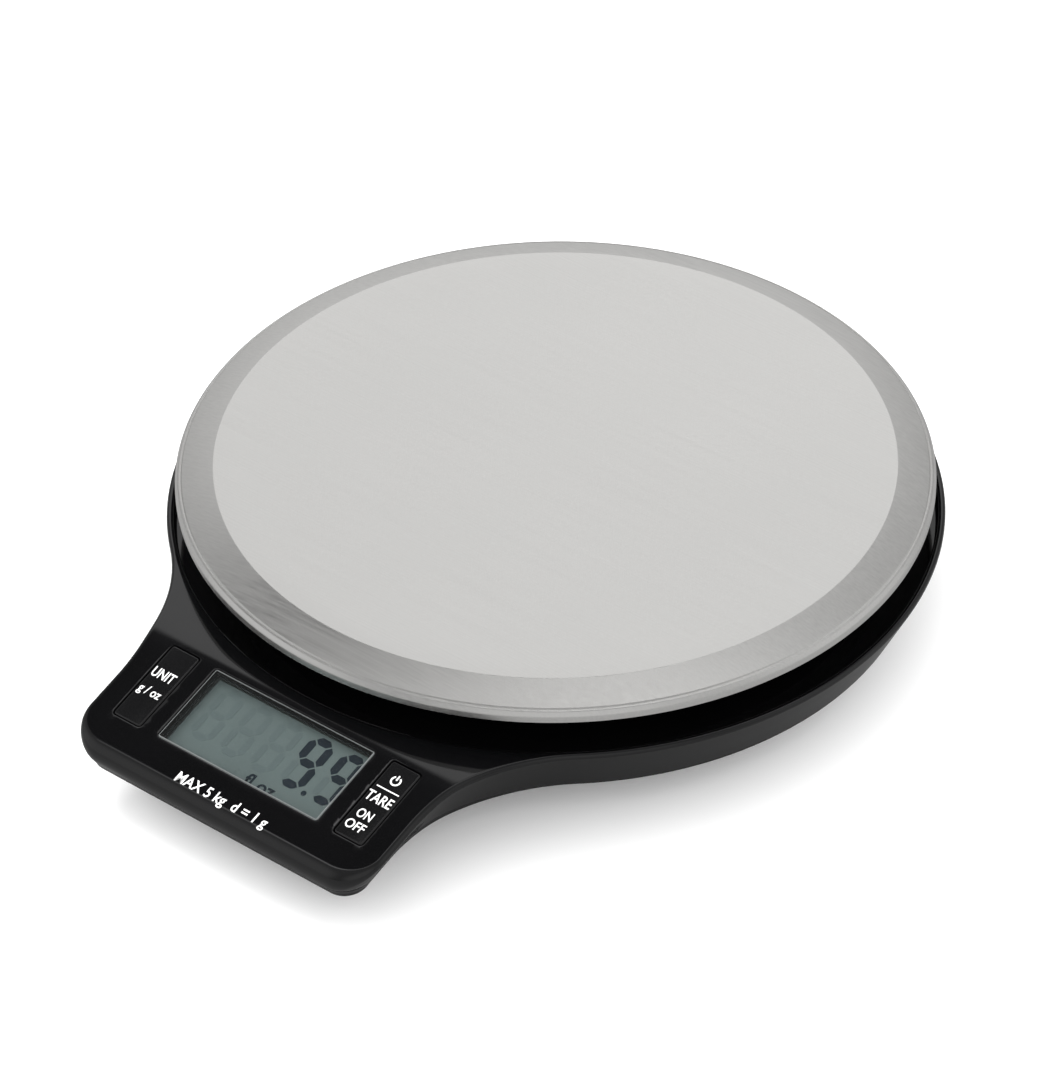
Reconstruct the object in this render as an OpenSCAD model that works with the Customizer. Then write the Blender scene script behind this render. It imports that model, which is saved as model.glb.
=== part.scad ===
// Digital kitchen scale: a round body with a sloped display tongue and a floating stainless platter.
// Units are millimetres. +X is the user's right, +Y points away from the user, +Z is up.
// The modules are written about the load axis, through the platter's centre. seat() then centres the whole.

/* [Platter] */
// Outer diameter of the platter
platter_d = 180; // [176:1:182]
// Radius of the flat centre
platter_flat_r = 80.8; // [70:0.1:84]
// Width of the rolled edge, from the crease to the outside
platter_roll = 0.7; // [0.5:0.1:1.2]
// Drop from the flat centre to the crease
platter_drop = 2.6; // [1.5:0.1:3.5]
// Height of the rolled edge under the crease
platter_lip = 2.6; // [2:0.1:3]
// Sheet thickness
sheet = 0.6; // [0.5:0.1:0.8]
// Travel of the platform from no load to the overload stop
platform_travel = 0.6; // [0.3:0.1:0.8]

/* [Body] */
// Height from the table to the top of the platter
overall_h = 39; // [38:0.5:42]
// Outer radius of the body at its rim
body_r = 92.5; // [91.5:0.1:95]
// Radius of the body at the seam between the shells
seam_r = 86.4; // [85:0.1:88]
// Radius of the flat underside
floor_r = 73; // [73:0.5:76]
// Height of the rim
rim_z = 26.1; // [25:0.1:27]
// Height of the recessed deck under the platter
deck_z = 22.5; // [22:0.1:23]
// Height of the seam
seam_z = 12.4; // [12:0.1:13]
// Height of the underside above the table
floor_z = 2; // [1.5:0.1:2.5]
// Wall thickness of the shells
wall = 2.2; // [1.8:0.1:2.4]

/* [Tongue] */
// Width of the tongue
tongue_w = 89.2; // [88:0.2:92]
// Distance from the load axis to the front of the tongue
tongue_reach = 126.9; // [126:0.1:130]
// Slope of the display panel in degrees
panel_slope = 14.7; // [14:0.1:15]
// Corner radius at the front of the tongue, seen from above
tongue_corner_r = 9.5; // [8:0.5:12]
// Radius of the hollow curves that join the tongue to the body
flare_r = 49.5; // [46:0.5:52]
// Radius of the rounded front edge, seen from the side
nose_r = 4; // [3.6:0.1:4.4]
// Underside of the tongue above the table
tongue_base_z = 9.5; // [9:0.1:9.8]

/* [Display and buttons] */
// Width of the window lens
lens_w = 47.4; // [46:0.1:48]
// Length of the window lens along the slope
lens_l = 22; // [21:0.1:22.4]
// Width of a button
button_w = 8.1; // [7.5:0.1:8.5]
// Length of a button along the slope
button_l = 22.2; // [20:0.1:22.6]
// Distance from the middle of the panel to the middle of a button
button_x = 32.7; // [32.5:0.1:33]
// Gap round a button
button_gap = 0.2; // [0.15:0.05:0.3]
// Travel of a button
button_travel = 0.4; // [0.2:0.1:0.5]

/* [Power] */
// Diameter of a cell
cell_d = 10.5; // [10:0.1:10.5]
// Length of a cell with its terminal
cell_l = 44.5; // [44:0.1:44.5]

/* [Hidden] */

black_plastic = [0.03, 0.03, 0.035];
dark_plastic = [0.12, 0.12, 0.13];
steel = [0.78, 0.78, 0.76];
aluminium = [0.8, 0.81, 0.82];
board_green = [0.06, 0.32, 0.16];
rubber_grey = [0.25, 0.25, 0.26];
round_fn = 180;
small_fn = 48;
eps = 0.01;

// Platter
platter_r = platter_d / 2;
crease_r = platter_r - platter_roll;
crease_z = overall_h - platter_drop;
lip_z = crease_z - platter_lip;

// Body
rim_h = 0.8;
rim_in_r = body_r - 1.4;
rim_crest_w = 0.5;
deck_r = 90.2;
deck_t = 2.5;
roof_z = deck_z - deck_t;
wall_slope = (body_r - seam_r) / (rim_z - rim_h - seam_z);
bowl_slope = (seam_r - floor_r) / (seam_z - floor_z);
floor_t = 2;
inner_floor_z = floor_z + floor_t;
body_centre_y = (tongue_reach - body_r) / 2;

// Tongue: its top rises from the nose to a ridge, then falls gently to the deck
panel_rise = tan(panel_slope);
panel_y = -106.45;
panel_z = 22.95;
ridge_y = -94;
back_fall = 0.27;
tongue_half = tongue_w / 2;
tuck = wall_slope;
tuck_lean = atan(tuck);
tuck_top_z = rim_z - rim_h;
flare_x = tongue_half + flare_r;
flare_bite = 0.15;
flare_y = -sqrt(pow(body_r + flare_r - flare_bite, 2) - pow(flare_x, 2));
tongue_back_y = -50;
corner_h = 60;
corner_bite = 0.05;
tongue_floor_t = 1.4;

// Window and display, measured down from the panel's face
lens_t = 1.3;
lens_sunk = 0.15;
lens_lip = 0.8;
panel_t = 2.2;
gasket_t = 0.6;
lcd_w = 48.4;
lcd_l = 23.2;
lcd_t = 2.4;
lcd_top = -3.2;
frame_wall = 0.6;
board_top = -7.2;
board_t = 1;
strip_w = 1.6;
pocket_gap = 0.1;

// Buttons and switches
flange = 0.6;
flange_t = 0.7;
cap_t = 2.4;
switch_size = 6;
switch_h = 2.9;
plunger_r = 1.7;
plunger_gap = 0.08;
switch_v = -1;

// Board fixings
board_w = 71;
board_narrow_w = 57.5;
board_l = 28.4;
board_boss_r = 1.4;
board_pilot_r = 0.7;
board_fix = [26.5, 12.7];

// Load cell
bar = 12.7;
bar_l = 75;
bar_plate = 1.5;
bar_z = inner_floor_z + bar_plate;
bar_top = bar_z + bar;
bar_fix_near = 20;
bar_fix_far = 32;
bar_eye_r = 4.6;
bar_eye_y = 6.5;
bar_slot = 2;
bolt_r = 2;
bolt_head_r = 3.6;
bolt_head_h = 2.6;
bolt_low_head_h = 1.6;
bolt_clear_r = bolt_r + 0.2;
bolt_head_clear_r = bolt_head_r + 0.6;
bolt_sink = 0.6;
bar_plate_w = 16;
bar_plate_l = 22;
bar_mid_y = (bar_fix_near + bar_fix_far) / 2;
gauge_l = 22;
gauge_t = 1;
through = 60;

// Carrier
carrier_r = 78;
carrier_t = 2;
pad_t = 0.8;
pad_r = 6;
pad_ring_r = 55;
carrier_top = overall_h - sheet - pad_t;
carrier_skirt = 7;
carrier_rib_t = 1.6;
carrier_rib_h = 3;
column_w = 15;
column_l = 22;
column_y = -bar_mid_y;
column_gap = 2.5;
spill_wall = 1.6;
spill_h = 3;
bolt_seat_z = bar_top + 6;

// Battery bay
bay_l = 51;
bay_w = 22.6;
bay_front = 42.2;
bay_wall = 1.5;
bay_top = 15.5;
cell_pitch = bay_w / 2;
cell_z = 4.6 + cell_d / 2;
door_t = 1.8;
door_z = floor_z + 0.1;
door_l = 54;
door_front = bay_front - 1;
door_reach = 24.9;
door_gap = 0.3;
door_pin_r = 0.85;
door_pin_len = 2;
pin_clear = 0.07;
latch_w = 10;
latch_h = 4.4;
latch_t = 1.2;
plinth_z = inner_floor_z + 2;
contact_t = 0.5;
contact_size = 8.4;
spring_turns = 5;
spring_wire_r = 0.4;
spring_wide_r = 3.6;
spring_taper = 0.3;
grip_w = 16;
grip_slot = 0.8;
grip_pitch = 2;
notch_r = 3;

// Fixings and feet
foot_r = 7.5;
foot_ring_r = 64;
foot_sink = 1;
screw_r = 1.45;
screw_head_r = 2.8;
screw_head_h = 2;
screw_boss_r = 3.8;
body_screw_ring = 67;
body_screw_angles = [15, 165, 195, 345];
body_screw_seat = 8;
tongue_screw = [34, -88];
tongue_screw_seat = tongue_base_z + 1.2;
pilot_depth = 7.5;
foot_bevel = 0.6;
label_w = 44;
label_l = 22;
label_t = 0.15;
label_y = -40;

// Wires
wire_r = 0.45;
bend_swell = 0.06;
wire_fn = 16;
wire_floor = inner_floor_z + 0.8;
cell_wire_x = 9.5;
cell_wire_pitch = 1.2;
power_wire_x = -30.5;
power_wire_pitch = 1.4;
power_wire_front_x = -14;
wire_rise = [-78, 13];
wire_end = [-90, 16.6];
clip_x = cell_wire_x + 1.5 * cell_wire_pitch;
clip_y = -50;

module seat() {
    translate([0, body_centre_y, 0]) children();
}

module on_panel() {
    translate([0, panel_y, panel_z]) rotate([panel_slope, 0, 0]) children();
}

module board_fixings() {
    for (x = [-1, 1], y = [-1, 1]) translate([x * board_fix[0], y * board_fix[1], 0]) children();
}

module plate(w, l, low, high) {
    translate([-w / 2, -l / 2, low]) cube([w, l, high - low]);
}

module both_sides(x) {
    for (side = [-1, 1]) translate([side * x, 0, 0]) children();
}

function panel_at(y) = panel_z + (y - panel_y) * panel_rise;
nose_y = -tongue_reach + nose_r;
nose_z = panel_at(nose_y) - nose_r / cos(panel_slope);

// The body of revolution, from the underside to the rim; inset shrinks it to the hollow inside.
module round_body(inset) {
    low = inset > 0 ? inner_floor_z : floor_z;
    top = inset > 0 ? roof_z : rim_z;
    edge = inset > 0 ? roof_z : rim_z - rim_h;
    rotate_extrude($fn = round_fn) polygon([
        [0, low],
        [floor_r - inset / 2 + (low - floor_z) * bowl_slope / 2, low],
        [seam_r - inset, seam_z],
        [seam_r - inset + (edge - seam_z) * wall_slope, edge],
        [inset > 0 ? seam_r - inset : body_r - rim_crest_w, top],
        [0, top]]);
}

// Side view of the tongue, as [y, z] points: underside, rounded nose, panel, ridge and the slope to the deck.
function tongue_side(inset) =
    let(base = tongue_base_z + inset * tongue_floor_t / wall, r = nose_r - inset)
    concat(
        [[tongue_back_y, base], [nose_y, base]],
        [for (a = [255 : -15 : 90 + panel_slope]) [nose_y + r * cos(a), max(nose_z + r * sin(a), base)]],
        [[ridge_y, panel_at(ridge_y) - inset / cos(panel_slope)]],
        inset > 0
            ? [[ridge_y + 4, roof_z], [tongue_back_y, roof_z]]
            : [[tongue_back_y, panel_at(ridge_y) - back_fall * (tongue_back_y - ridge_y)]]);

// Outline of the tongue seen along its length: the sides tuck in towards the underside.
function tongue_front(inset) = [
    for (side = [-1, 1], z = side < 0 ? [rim_z + 2, tuck_top_z, 0] : [0, tuck_top_z, rim_z + 2])
        [side * (tongue_half - inset - max(0, tuck_top_z - z) * tuck), z]];

module flare_cone(inset) {
    r = flare_r + inset;
    cylinder(r1 = r + tuck_top_z * tuck, r2 = r, h = tuck_top_z, $fn = round_fn);
    translate([0, 0, tuck_top_z - eps]) cylinder(r = r, h = 5, $fn = round_fn);
}

// Everything outside a front corner; its axis leans with the tongue's sides
module corner_cutter(inset) {
    r = tongue_corner_r - inset;
    translate([tongue_half - inset - r / cos(tuck_lean), -tongue_reach + tongue_corner_r, tuck_top_z])
        rotate([0, tuck_lean, 0]) translate([0, 0, -corner_h / 2]) difference() {
            translate([0, -corner_h, 0]) cube([corner_h, corner_h, corner_h]);
            translate([0, 0, -1]) cylinder(r = r + corner_bite, h = corner_h + 2, $fn = small_fn);
        }
}

module tongue_body(inset) {
    difference() {
        intersection() {
            rotate([90, 0, 90]) linear_extrude(height = 140, center = true) polygon(tongue_side(inset));
            union() {
                translate([0, flare_y + eps, 0]) rotate([90, 0, 0])
                    linear_extrude(height = 60) polygon(tongue_front(inset));
                difference() {
                    linear_extrude(height = 40) polygon([[0, 0], [-flare_x, flare_y], [flare_x, flare_y]]);
                    both_sides(flare_x) translate([0, flare_y, 0]) flare_cone(inset);
                }
            }
        }
        for (side = [0, 1]) mirror([side, 0, 0]) corner_cutter(inset);
    }
}

// The tongue without the stretch that the round body covers
module tongue_shell(inset) {
    difference() {
        tongue_body(inset);
        cylinder(r = floor_r, h = 50, $fn = round_fn);
    }
}

module above_seam() {
    translate([-150, -150, seam_z]) cube([300, 300, 40]);
}

module below_seam() {
    translate([-150, -150, -1]) cube([300, 300, seam_z + 1]);
}

module body_screw_places() {
    for (a = body_screw_angles) rotate([0, 0, a]) translate([body_screw_ring, 0, 0]) children();
}

module platter() {
    color(steel) rotate_extrude($fn = round_fn) polygon([
        [0, overall_h], [platter_flat_r, overall_h], [crease_r, crease_z],
        [platter_r - 0.15, crease_z - 0.35], [platter_r, crease_z - 1], [platter_r, lip_z],
        [platter_r - sheet, lip_z], [platter_r - sheet, crease_z - 1],
        [crease_r - sheet, crease_z - sheet],
        [platter_flat_r - 0.1, overall_h - sheet],
        [0, overall_h - sheet]]);
}

module platter_pads() {
    color(rubber_grey) for (a = [45 : 90 : 315]) rotate([0, 0, a])
        translate([pad_ring_r, 0, carrier_top]) cylinder(r = pad_r, h = pad_t, $fn = small_fn);
}

module bolt_places(far, near) {
    for (y = [far, near]) translate([0, y, 0]) children();
}

module platter_carrier() {
    plate_z = carrier_top - carrier_t;
    color(dark_plastic) difference() {
        union() {
            translate([0, 0, plate_z]) cylinder(r = carrier_r, h = carrier_t, $fn = round_fn);
            rotate_extrude($fn = round_fn) translate([carrier_r - carrier_rib_t, carrier_top - carrier_skirt])
                square([carrier_rib_t, carrier_skirt]);
            for (a = [0 : 45 : 135]) rotate([0, 0, a])
                translate([-carrier_r + eps, -carrier_rib_t / 2, plate_z - carrier_rib_h])
                    cube([2 * carrier_r - 2 * eps, carrier_rib_t, carrier_rib_h + eps]);
            translate([-column_w / 2, column_y - column_l / 2, bar_top])
                cube([column_w, column_l, plate_z - bar_top + eps]);
        }
        bolt_places(-bar_fix_far, -bar_fix_near) {
            translate([0, 0, bar_top - 1]) cylinder(r = bolt_clear_r, h = 30, $fn = small_fn);
            translate([0, 0, bolt_seat_z]) cylinder(r = bolt_head_clear_r, h = 30, $fn = small_fn);
        }
    }
}

module bolt(length) {
    translate([0, 0, -length]) cylinder(r = bolt_r, h = length + eps, $fn = small_fn);
    difference() {
        cylinder(r = bolt_head_r, h = bolt_head_h, $fn = small_fn);
        for (turn = [0, 90]) rotate([0, 0, turn])
            translate([-2.2, -0.5, bolt_head_h - 1.2]) cube([4.4, 1, 2]);
    }
}

module carrier_screws() {
    color(steel) bolt_places(-bar_fix_far, -bar_fix_near) translate([0, 0, bolt_seat_z]) bolt(14);
}

module button_places(grow) {
    both_sides(button_x) plate(button_w + 2 * grow, button_l + 2 * grow, -10, 5);
}

module top_housing() {
    column_hole_w = column_w + 2 * column_gap;
    column_hole_l = column_l + 2 * column_gap;
    color(black_plastic) difference() {
        union() {
            difference() {
                intersection() {
                    union() {
                        round_body(0);
                        tongue_shell(0);
                    }
                    above_seam();
                }
                round_body(wall);
                tongue_shell(wall);
                // Deck recess, with a sloped step where it meets the tongue
                translate([0, 0, deck_z]) cylinder(r = deck_r, h = 20, $fn = round_fn);
                translate([0, 0, deck_z]) difference() {
                    cylinder(r1 = rim_in_r - 0.9, r2 = rim_in_r, h = rim_z - deck_z, $fn = round_fn);
                    translate([0, 0, -eps]) cylinder(r = deck_r - 1, h = 20, $fn = round_fn);
                }
                intersection() {
                    translate([0, 0, deck_z]) cylinder(r1 = deck_r, r2 = deck_r + 8, h = 8, $fn = round_fn);
                    translate([-tongue_half - 2, -110, deck_z]) cube([tongue_w + 4, 40, 20]);
                }
            }
            translate([0, column_y, 0])
                plate(column_hole_w + 2 * spill_wall, column_hole_l + 2 * spill_wall,
                    roof_z, deck_z + spill_h);
            body_screw_places() translate([0, 0, seam_z])
                cylinder(r = screw_boss_r, h = roof_z - seam_z + 1);
            both_sides(tongue_screw[0]) translate([0, tongue_screw[1], seam_z])
                cylinder(r = screw_boss_r, h = 11, $fn = small_fn);
            on_panel() {
                board_fixings() translate([0, 0, board_top])
                    cylinder(r = board_boss_r, h = -board_top - 1, $fn = small_fn);
            }
        }
        translate([0, column_y, 0]) plate(column_hole_w, column_hole_l, 0, through);
        body_screw_places() translate([0, 0, seam_z - 1])
            cylinder(r = screw_r, h = pilot_depth, $fn = small_fn);
        both_sides(tongue_screw[0]) translate([0, tongue_screw[1], seam_z - 1])
            cylinder(r = screw_r, h = pilot_depth, $fn = small_fn);
        on_panel() {
            plate(lens_w, lens_l, -lens_t - lens_sunk, 5);
            plate(lens_w - 2 * lens_lip, lens_l - 2 * lens_lip, -4, 5);
            button_places(button_gap);
            board_fixings() translate([0, 0, board_top - 1])
                cylinder(r = board_pilot_r, h = 5, $fn = small_fn);
        }
    }
}

module door_shape(grow) {
    translate([-door_l / 2 - grow, door_front, door_z - 0.2])
        cube([door_l + 2 * grow, door_reach + grow, door_t + 0.4]);
    translate([0, door_front, door_z + door_t / 2]) rotate([0, 90, 0])
        cylinder(r = door_t / 2 + grow, h = door_l + 2 * grow, center = true, $fn = small_fn);
}

module bottom_housing() {
    bay_mid = bay_front + bay_w / 2;
    latch_y = door_front + door_reach - latch_t;
    color(black_plastic) difference() {
        union() {
            difference() {
                intersection() {
                    union() {
                        round_body(0);
                        tongue_shell(0);
                    }
                    below_seam();
                }
                round_body(wall);
                tongue_shell(wall);
            }
            // Locating lip inside the seam
            translate([0, 0, seam_z - 1.5]) difference() {
                cylinder(r = seam_r - wall - 0.2, h = 3.2, $fn = round_fn);
                translate([0, 0, -1]) cylinder(r = seam_r - wall - 1.8, h = 6, $fn = round_fn);
                translate([-60, -120, -1]) cube([120, 60, 6]);
            }
            // Battery bay
            translate([0, bay_mid, 0])
                plate(bay_l + 2 * bay_wall, bay_w + 2 * bay_wall, floor_z + 1, bay_top + bay_wall);
            translate([0, bay_mid - 0.2, 0]) plate(bay_l + 6, bay_w + 5.6, floor_z + 1, plinth_z);
            translate([0, latch_y + 1.4, 0])
                plate(latch_w + 6, 4.4, floor_z + 1, door_z + door_t + latch_h + 2);
            // Load cell seat and overload stop
            translate([0, bar_mid_y, 0])
                plate(bar_plate_w + 2, bar_plate_l + 4, floor_z + 1, inner_floor_z);
            translate([0, -bar_l / 2 + 4, 0]) plate(14, 3, floor_z + 1, bar_z - platform_travel);
            // Screw posts and foot pads
            body_screw_places() translate([0, 0, floor_z])
                cylinder(r = screw_boss_r, h = seam_z - floor_z, $fn = small_fn);
            both_sides(tongue_screw[0]) translate([0, tongue_screw[1], tongue_base_z])
                cylinder(r = screw_boss_r, h = seam_z - tongue_base_z, $fn = small_fn);
            for (a = [45 : 90 : 315]) rotate([0, 0, a]) translate([foot_ring_r, 0, floor_z + 1])
                cylinder(r = foot_r + 1.5, h = 2, $fn = small_fn);
        }
        // Bay hollow, open below
        translate([0, bay_mid, 0]) plate(bay_l, bay_w, -1, bay_top);
        door_opening();
        // Door pivots
        translate([0, door_front, door_z + door_t / 2]) rotate([0, 90, 0])
            cylinder(r = door_pin_r + pin_clear, h = door_l + 2 * door_pin_len + 0.6,
                center = true, $fn = small_fn);
        // Latch slot and finger notch
        translate([-latch_w / 2 - 0.5, latch_y - 0.6, -1])
            cube([latch_w + 1, latch_t + 1.8, door_z + door_t + latch_h + 1.8]);
        translate([0, door_front + door_reach + 0.5, floor_z - 1.5]) rotate([0, 90, 0])
            cylinder(r = notch_r, h = latch_w, center = true, $fn = small_fn);
        // Wire notch from the bay into the body
        translate([-bay_l / 2 - 3, bay_front + 4, bay_top - 5]) cube([6, 3, 3]);
        translate([-bay_l / 2 - 3, bay_front + 4 + cell_pitch, bay_top - 5]) cube([6, 3, 3]);
        // Load cell bolts
        bolt_places(bar_fix_far, bar_fix_near) {
            translate([0, 0, -1]) cylinder(r = bolt_clear_r, h = 10, $fn = small_fn);
            translate([0, 0, -1])
                cylinder(r = bolt_head_clear_r, h = floor_z + bolt_sink + 1, $fn = small_fn);
        }
        body_screw_places() {
            translate([0, 0, -1]) cylinder(r = screw_head_r + 0.3, h = body_screw_seat + 1, $fn = small_fn);
            translate([0, 0, -1]) cylinder(r = screw_r + 0.2, h = 20, $fn = small_fn);
        }
        both_sides(tongue_screw[0]) translate([0, tongue_screw[1], -1]) {
            cylinder(r = screw_head_r + 0.3, h = tongue_screw_seat + 1, $fn = small_fn);
            cylinder(r = screw_r + 0.2, h = 20, $fn = small_fn);
        }
        for (a = [45 : 90 : 315]) rotate([0, 0, a]) translate([foot_ring_r, 0, -1])
            cylinder(r = foot_r, h = floor_z + foot_sink + 1, $fn = small_fn);
    }
}

module door_opening() {
    translate([-door_l / 2 - door_gap, door_front, -1])
        cube([door_l + 2 * door_gap, door_reach + door_gap, door_z + door_t + 0.15 + 1]);
    translate([0, door_front, door_z + door_t / 2]) rotate([0, 90, 0])
        cylinder(r = door_t / 2 + 0.15, h = door_l + 2 * door_gap, center = true, $fn = small_fn);
    translate([-door_l / 2 - door_gap, door_front - door_t / 2 - 0.15, -1])
        cube([door_l + 2 * door_gap, 2, door_z + door_t / 2 + 1]);
}

module battery_door() {
    latch_y = door_front + door_reach - latch_t;
    color(black_plastic) difference() {
        union() {
            translate([-door_l / 2, door_front, door_z]) cube([door_l, door_reach, door_t]);
            translate([0, door_front, door_z + door_t / 2]) rotate([0, 90, 0])
                cylinder(r = door_t / 2, h = door_l, center = true, $fn = small_fn);
            translate([0, door_front, door_z + door_t / 2]) rotate([0, 90, 0])
                cylinder(r = door_pin_r, h = door_l + 2 * door_pin_len, center = true, $fn = small_fn);
            translate([-latch_w / 2, latch_y, door_z + door_t - eps]) cube([latch_w, latch_t, latch_h]);
        }
        for (i = [0 : 2]) translate([-grip_w / 2, door_front + 15 + i * grip_pitch, door_z - 1])
            cube([grip_w, grip_slot, 1.3]);
    }
}

module window_lens() {
    color([0.75, 0.8, 0.82, 0.4]) on_panel()
        plate(lens_w - 0.1, lens_l - 0.1, -lens_t - lens_sunk, -lens_sunk);
}

module window_gasket() {
    color([0.05, 0.05, 0.05]) on_panel() difference() {
        plate(lcd_w + 2 * frame_wall, lcd_l + 2 * frame_wall, -panel_t - gasket_t + 0.2, -panel_t);
        plate(lens_w - 2 * lens_lip, lens_l - 2 * lens_lip, -9, 5);
    }
}

module lcd_frame() {
    color([0.85, 0.85, 0.83]) on_panel() difference() {
        plate(lcd_w + 2 * frame_wall, lcd_l + 2 * frame_wall, board_top, -panel_t - gasket_t + 0.2);
        plate(lcd_w + pocket_gap, lcd_l + pocket_gap, -20, lcd_top);
        plate(lens_w - 2 * lens_lip, lens_l - 2 * lens_lip, -20, 5);
    }
}

module lcd_glass() {
    color([0.5, 0.56, 0.52]) on_panel() plate(lcd_w, lcd_l, lcd_top - lcd_t, lcd_top);
}

module elastomer_strips() {
    color([0.85, 0.45, 0.55]) on_panel() for (side = [-1, 1])
        translate([0, side * (lcd_l / 2 - strip_w / 2 - 0.2), 0])
            plate(lcd_w - 4, strip_w, board_top, lcd_top - lcd_t);
}

module board_outline(low, high) {
    plate(board_w, 16, low, high);
    plate(board_narrow_w, board_l, low, high);
}

module circuit_board() {
    color(board_green) on_panel() difference() {
        board_outline(board_top - board_t, board_top);
        board_fixings() translate([0, 0, -20]) cylinder(r = board_pilot_r + 0.2, h = 30, $fn = small_fn);
    }
}

module chip_blob() {
    color([0.04, 0.04, 0.04]) on_panel() translate([6, 4, board_top - board_t - 1.1])
        cylinder(r1 = 4, r2 = 6.5, h = 1.1, $fn = small_fn);
}

module board_components() {
    color([0.55, 0.45, 0.3]) on_panel() for (i = [0 : 5])
        translate([-22 + i * 3.2, 1 + (i % 2) * 4, board_top - board_t - 0.8]) cube([2, 1.25, 0.8]);
}

module crystal() {
    color(steel) on_panel() translate([14, 5, board_top - board_t - 1]) rotate([0, 90, 0])
        cylinder(r = 1, h = 6.2, $fn = small_fn);
}

module board_screws() {
    head_h = 0.5;
    color(steel) on_panel() board_fixings() translate([0, 0, board_top - board_t]) {
        cylinder(r = board_pilot_r, h = board_t + 1.7, $fn = small_fn);
        translate([0, 0, -head_h]) cylinder(r = board_boss_r, h = head_h, $fn = small_fn);
    }
}

module switch_body(side) {
    color([0.1, 0.1, 0.1]) on_panel() translate([side * button_x, switch_v, 0]) difference() {
        plate(switch_size, switch_size, board_top, board_top + switch_h);
        translate([0, 0, board_top + 0.9]) cylinder(r = plunger_r + plunger_gap, h = 9, $fn = small_fn);
    }
}

module switch_plunger(side) {
    color([0.7, 0.7, 0.68]) on_panel() translate([side * button_x, switch_v, board_top + 1.5])
        cylinder(r = plunger_r, h = -cap_t - flange_t - board_top - 1.5, $fn = small_fn);
}

module panel_button(side) {
    color([0.05, 0.05, 0.055]) on_panel() translate([side * button_x, 0, 0]) {
        plate(button_w, button_l, -cap_t - eps, 0);
        plate(button_w + 2 * flange, button_l + 2 * flange, -cap_t - flange_t, -cap_t);
    }
}

module load_cell() {
    color(aluminium) difference() {
        translate([-bar / 2, -bar_l / 2, bar_z]) cube([bar, bar_l, bar]);
        for (y = [-bar_eye_y, bar_eye_y]) translate([0, y, bar_z + bar / 2]) rotate([0, 90, 0])
            cylinder(r = bar_eye_r, h = bar + 2, center = true, $fn = small_fn);
        translate([0, 0, bar_z + bar / 2]) cube([bar + 2, 2 * bar_eye_y, bar_slot], center = true);
        bolt_places(-bar_fix_far, -bar_fix_near) translate([0, 0, bar_z + 4])
            cylinder(r = bolt_r, h = bar, $fn = small_fn);
        bolt_places(bar_fix_far, bar_fix_near) translate([0, 0, bar_z - 1])
            cylinder(r = bolt_r, h = 9, $fn = small_fn);
    }
}

module strain_gauge_cover() {
    color([0.92, 0.92, 0.9]) translate([-bar / 2, -gauge_l / 2, bar_top]) cube([bar, gauge_l, gauge_t]);
}

module load_cell_plate() {
    color(steel) difference() {
        translate([0, bar_mid_y, 0]) plate(bar_plate_w, bar_plate_l, inner_floor_z, bar_z);
        bolt_places(bar_fix_far, bar_fix_near) cylinder(r = bolt_clear_r, h = 20, $fn = small_fn);
    }
}

module load_cell_screws() {
    color(steel) bolt_places(bar_fix_far, bar_fix_near)
        translate([0, 0, floor_z + bolt_sink]) mirror([0, 0, 1]) screw_from_below(8.4);
}

// A low-head screw: the head lies below the seat and the shank rises from it.
module screw_from_below(length) {
    cylinder(r = bolt_head_r, h = bolt_low_head_h, $fn = small_fn);
    translate([0, 0, -length]) cylinder(r = bolt_r, h = length + eps, $fn = small_fn);
}

// A wire laid along straight runs, with a ball at every bend
module wire(points, r) {
    for (i = [0 : len(points) - 2])
        let(a = points[i], b = points[i + 1], d = b - a, h = norm(d))
        translate(a) rotate([0, acos(d[2] / h), atan2(d[1], d[0])]) cylinder(r = r, h = h, $fn = wire_fn);
    for (p = points) translate(p) sphere(r = r + bend_swell, $fn = wire_fn);
}

module load_cell_wires() {
    colours = [[0.75, 0.05, 0.05], [0.05, 0.05, 0.05], [0.9, 0.9, 0.9], [0.05, 0.5, 0.15]];
    for (i = [0 : 3]) color(colours[i]) {
        x = cell_wire_x + i * cell_wire_pitch;
        wire([[bar / 2 + wire_r + bend_swell, -9 + i * 1.5, bar_top + 0.5],
            [x, -12, bar_z + 6], [x, -22, wire_floor], [x, -64, wire_floor],
            concat(x, wire_rise), concat(x, wire_end)], wire_r);
    }
}

module battery_wires() {
    colours = [[0.75, 0.05, 0.05], [0.05, 0.05, 0.05]];
    for (i = [0, 1]) color(colours[i]) {
        x = power_wire_x - i * power_wire_pitch;
        front_x = power_wire_front_x - i * power_wire_pitch;
        y = bay_front + 5.5 + (1 - i) * cell_pitch;
        wire([[-bay_l / 2 - wire_r - bend_swell, y, bay_top - 3.5],
            [x, y, bay_top - 3.5], [x, y - 6, wire_floor], [x, 5, wire_floor],
            [front_x, -56, wire_floor], concat(front_x, wire_rise), concat(front_x, wire_end)], wire_r);
    }
}

module wire_clip() {
    color(dark_plastic) translate([clip_x, clip_y, inner_floor_z]) difference() {
        translate([-4, -1.5, 0]) cube([8, 3, 2.6]);
        translate([-2.6, -2, 0]) cube([5.2, 4, 1.6]);
    }
}

module cell_place(row, facing) {
    translate([0, bay_front + (row + 0.5) * cell_pitch, cell_z]) rotate([0, 90 * facing, 0]) children();
}

module cell() {
    nub = 1;
    can = cell_l - nub;
    color([0.12, 0.35, 0.3]) translate([0, 0, -cell_l / 2])
        cylinder(r = cell_d / 2, h = can, $fn = small_fn);
    color(steel) translate([0, 0, cell_l / 2 - nub - eps]) cylinder(r = 1.9, h = nub + eps, $fn = small_fn);
}

module contact_plate(side, row) {
    translate([side > 0 ? bay_l / 2 - contact_t : -bay_l / 2,
        bay_front + (row + 0.5) * cell_pitch - contact_size / 2, cell_z - contact_size / 2])
        cube([contact_t, contact_size, contact_size]);
}

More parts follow.
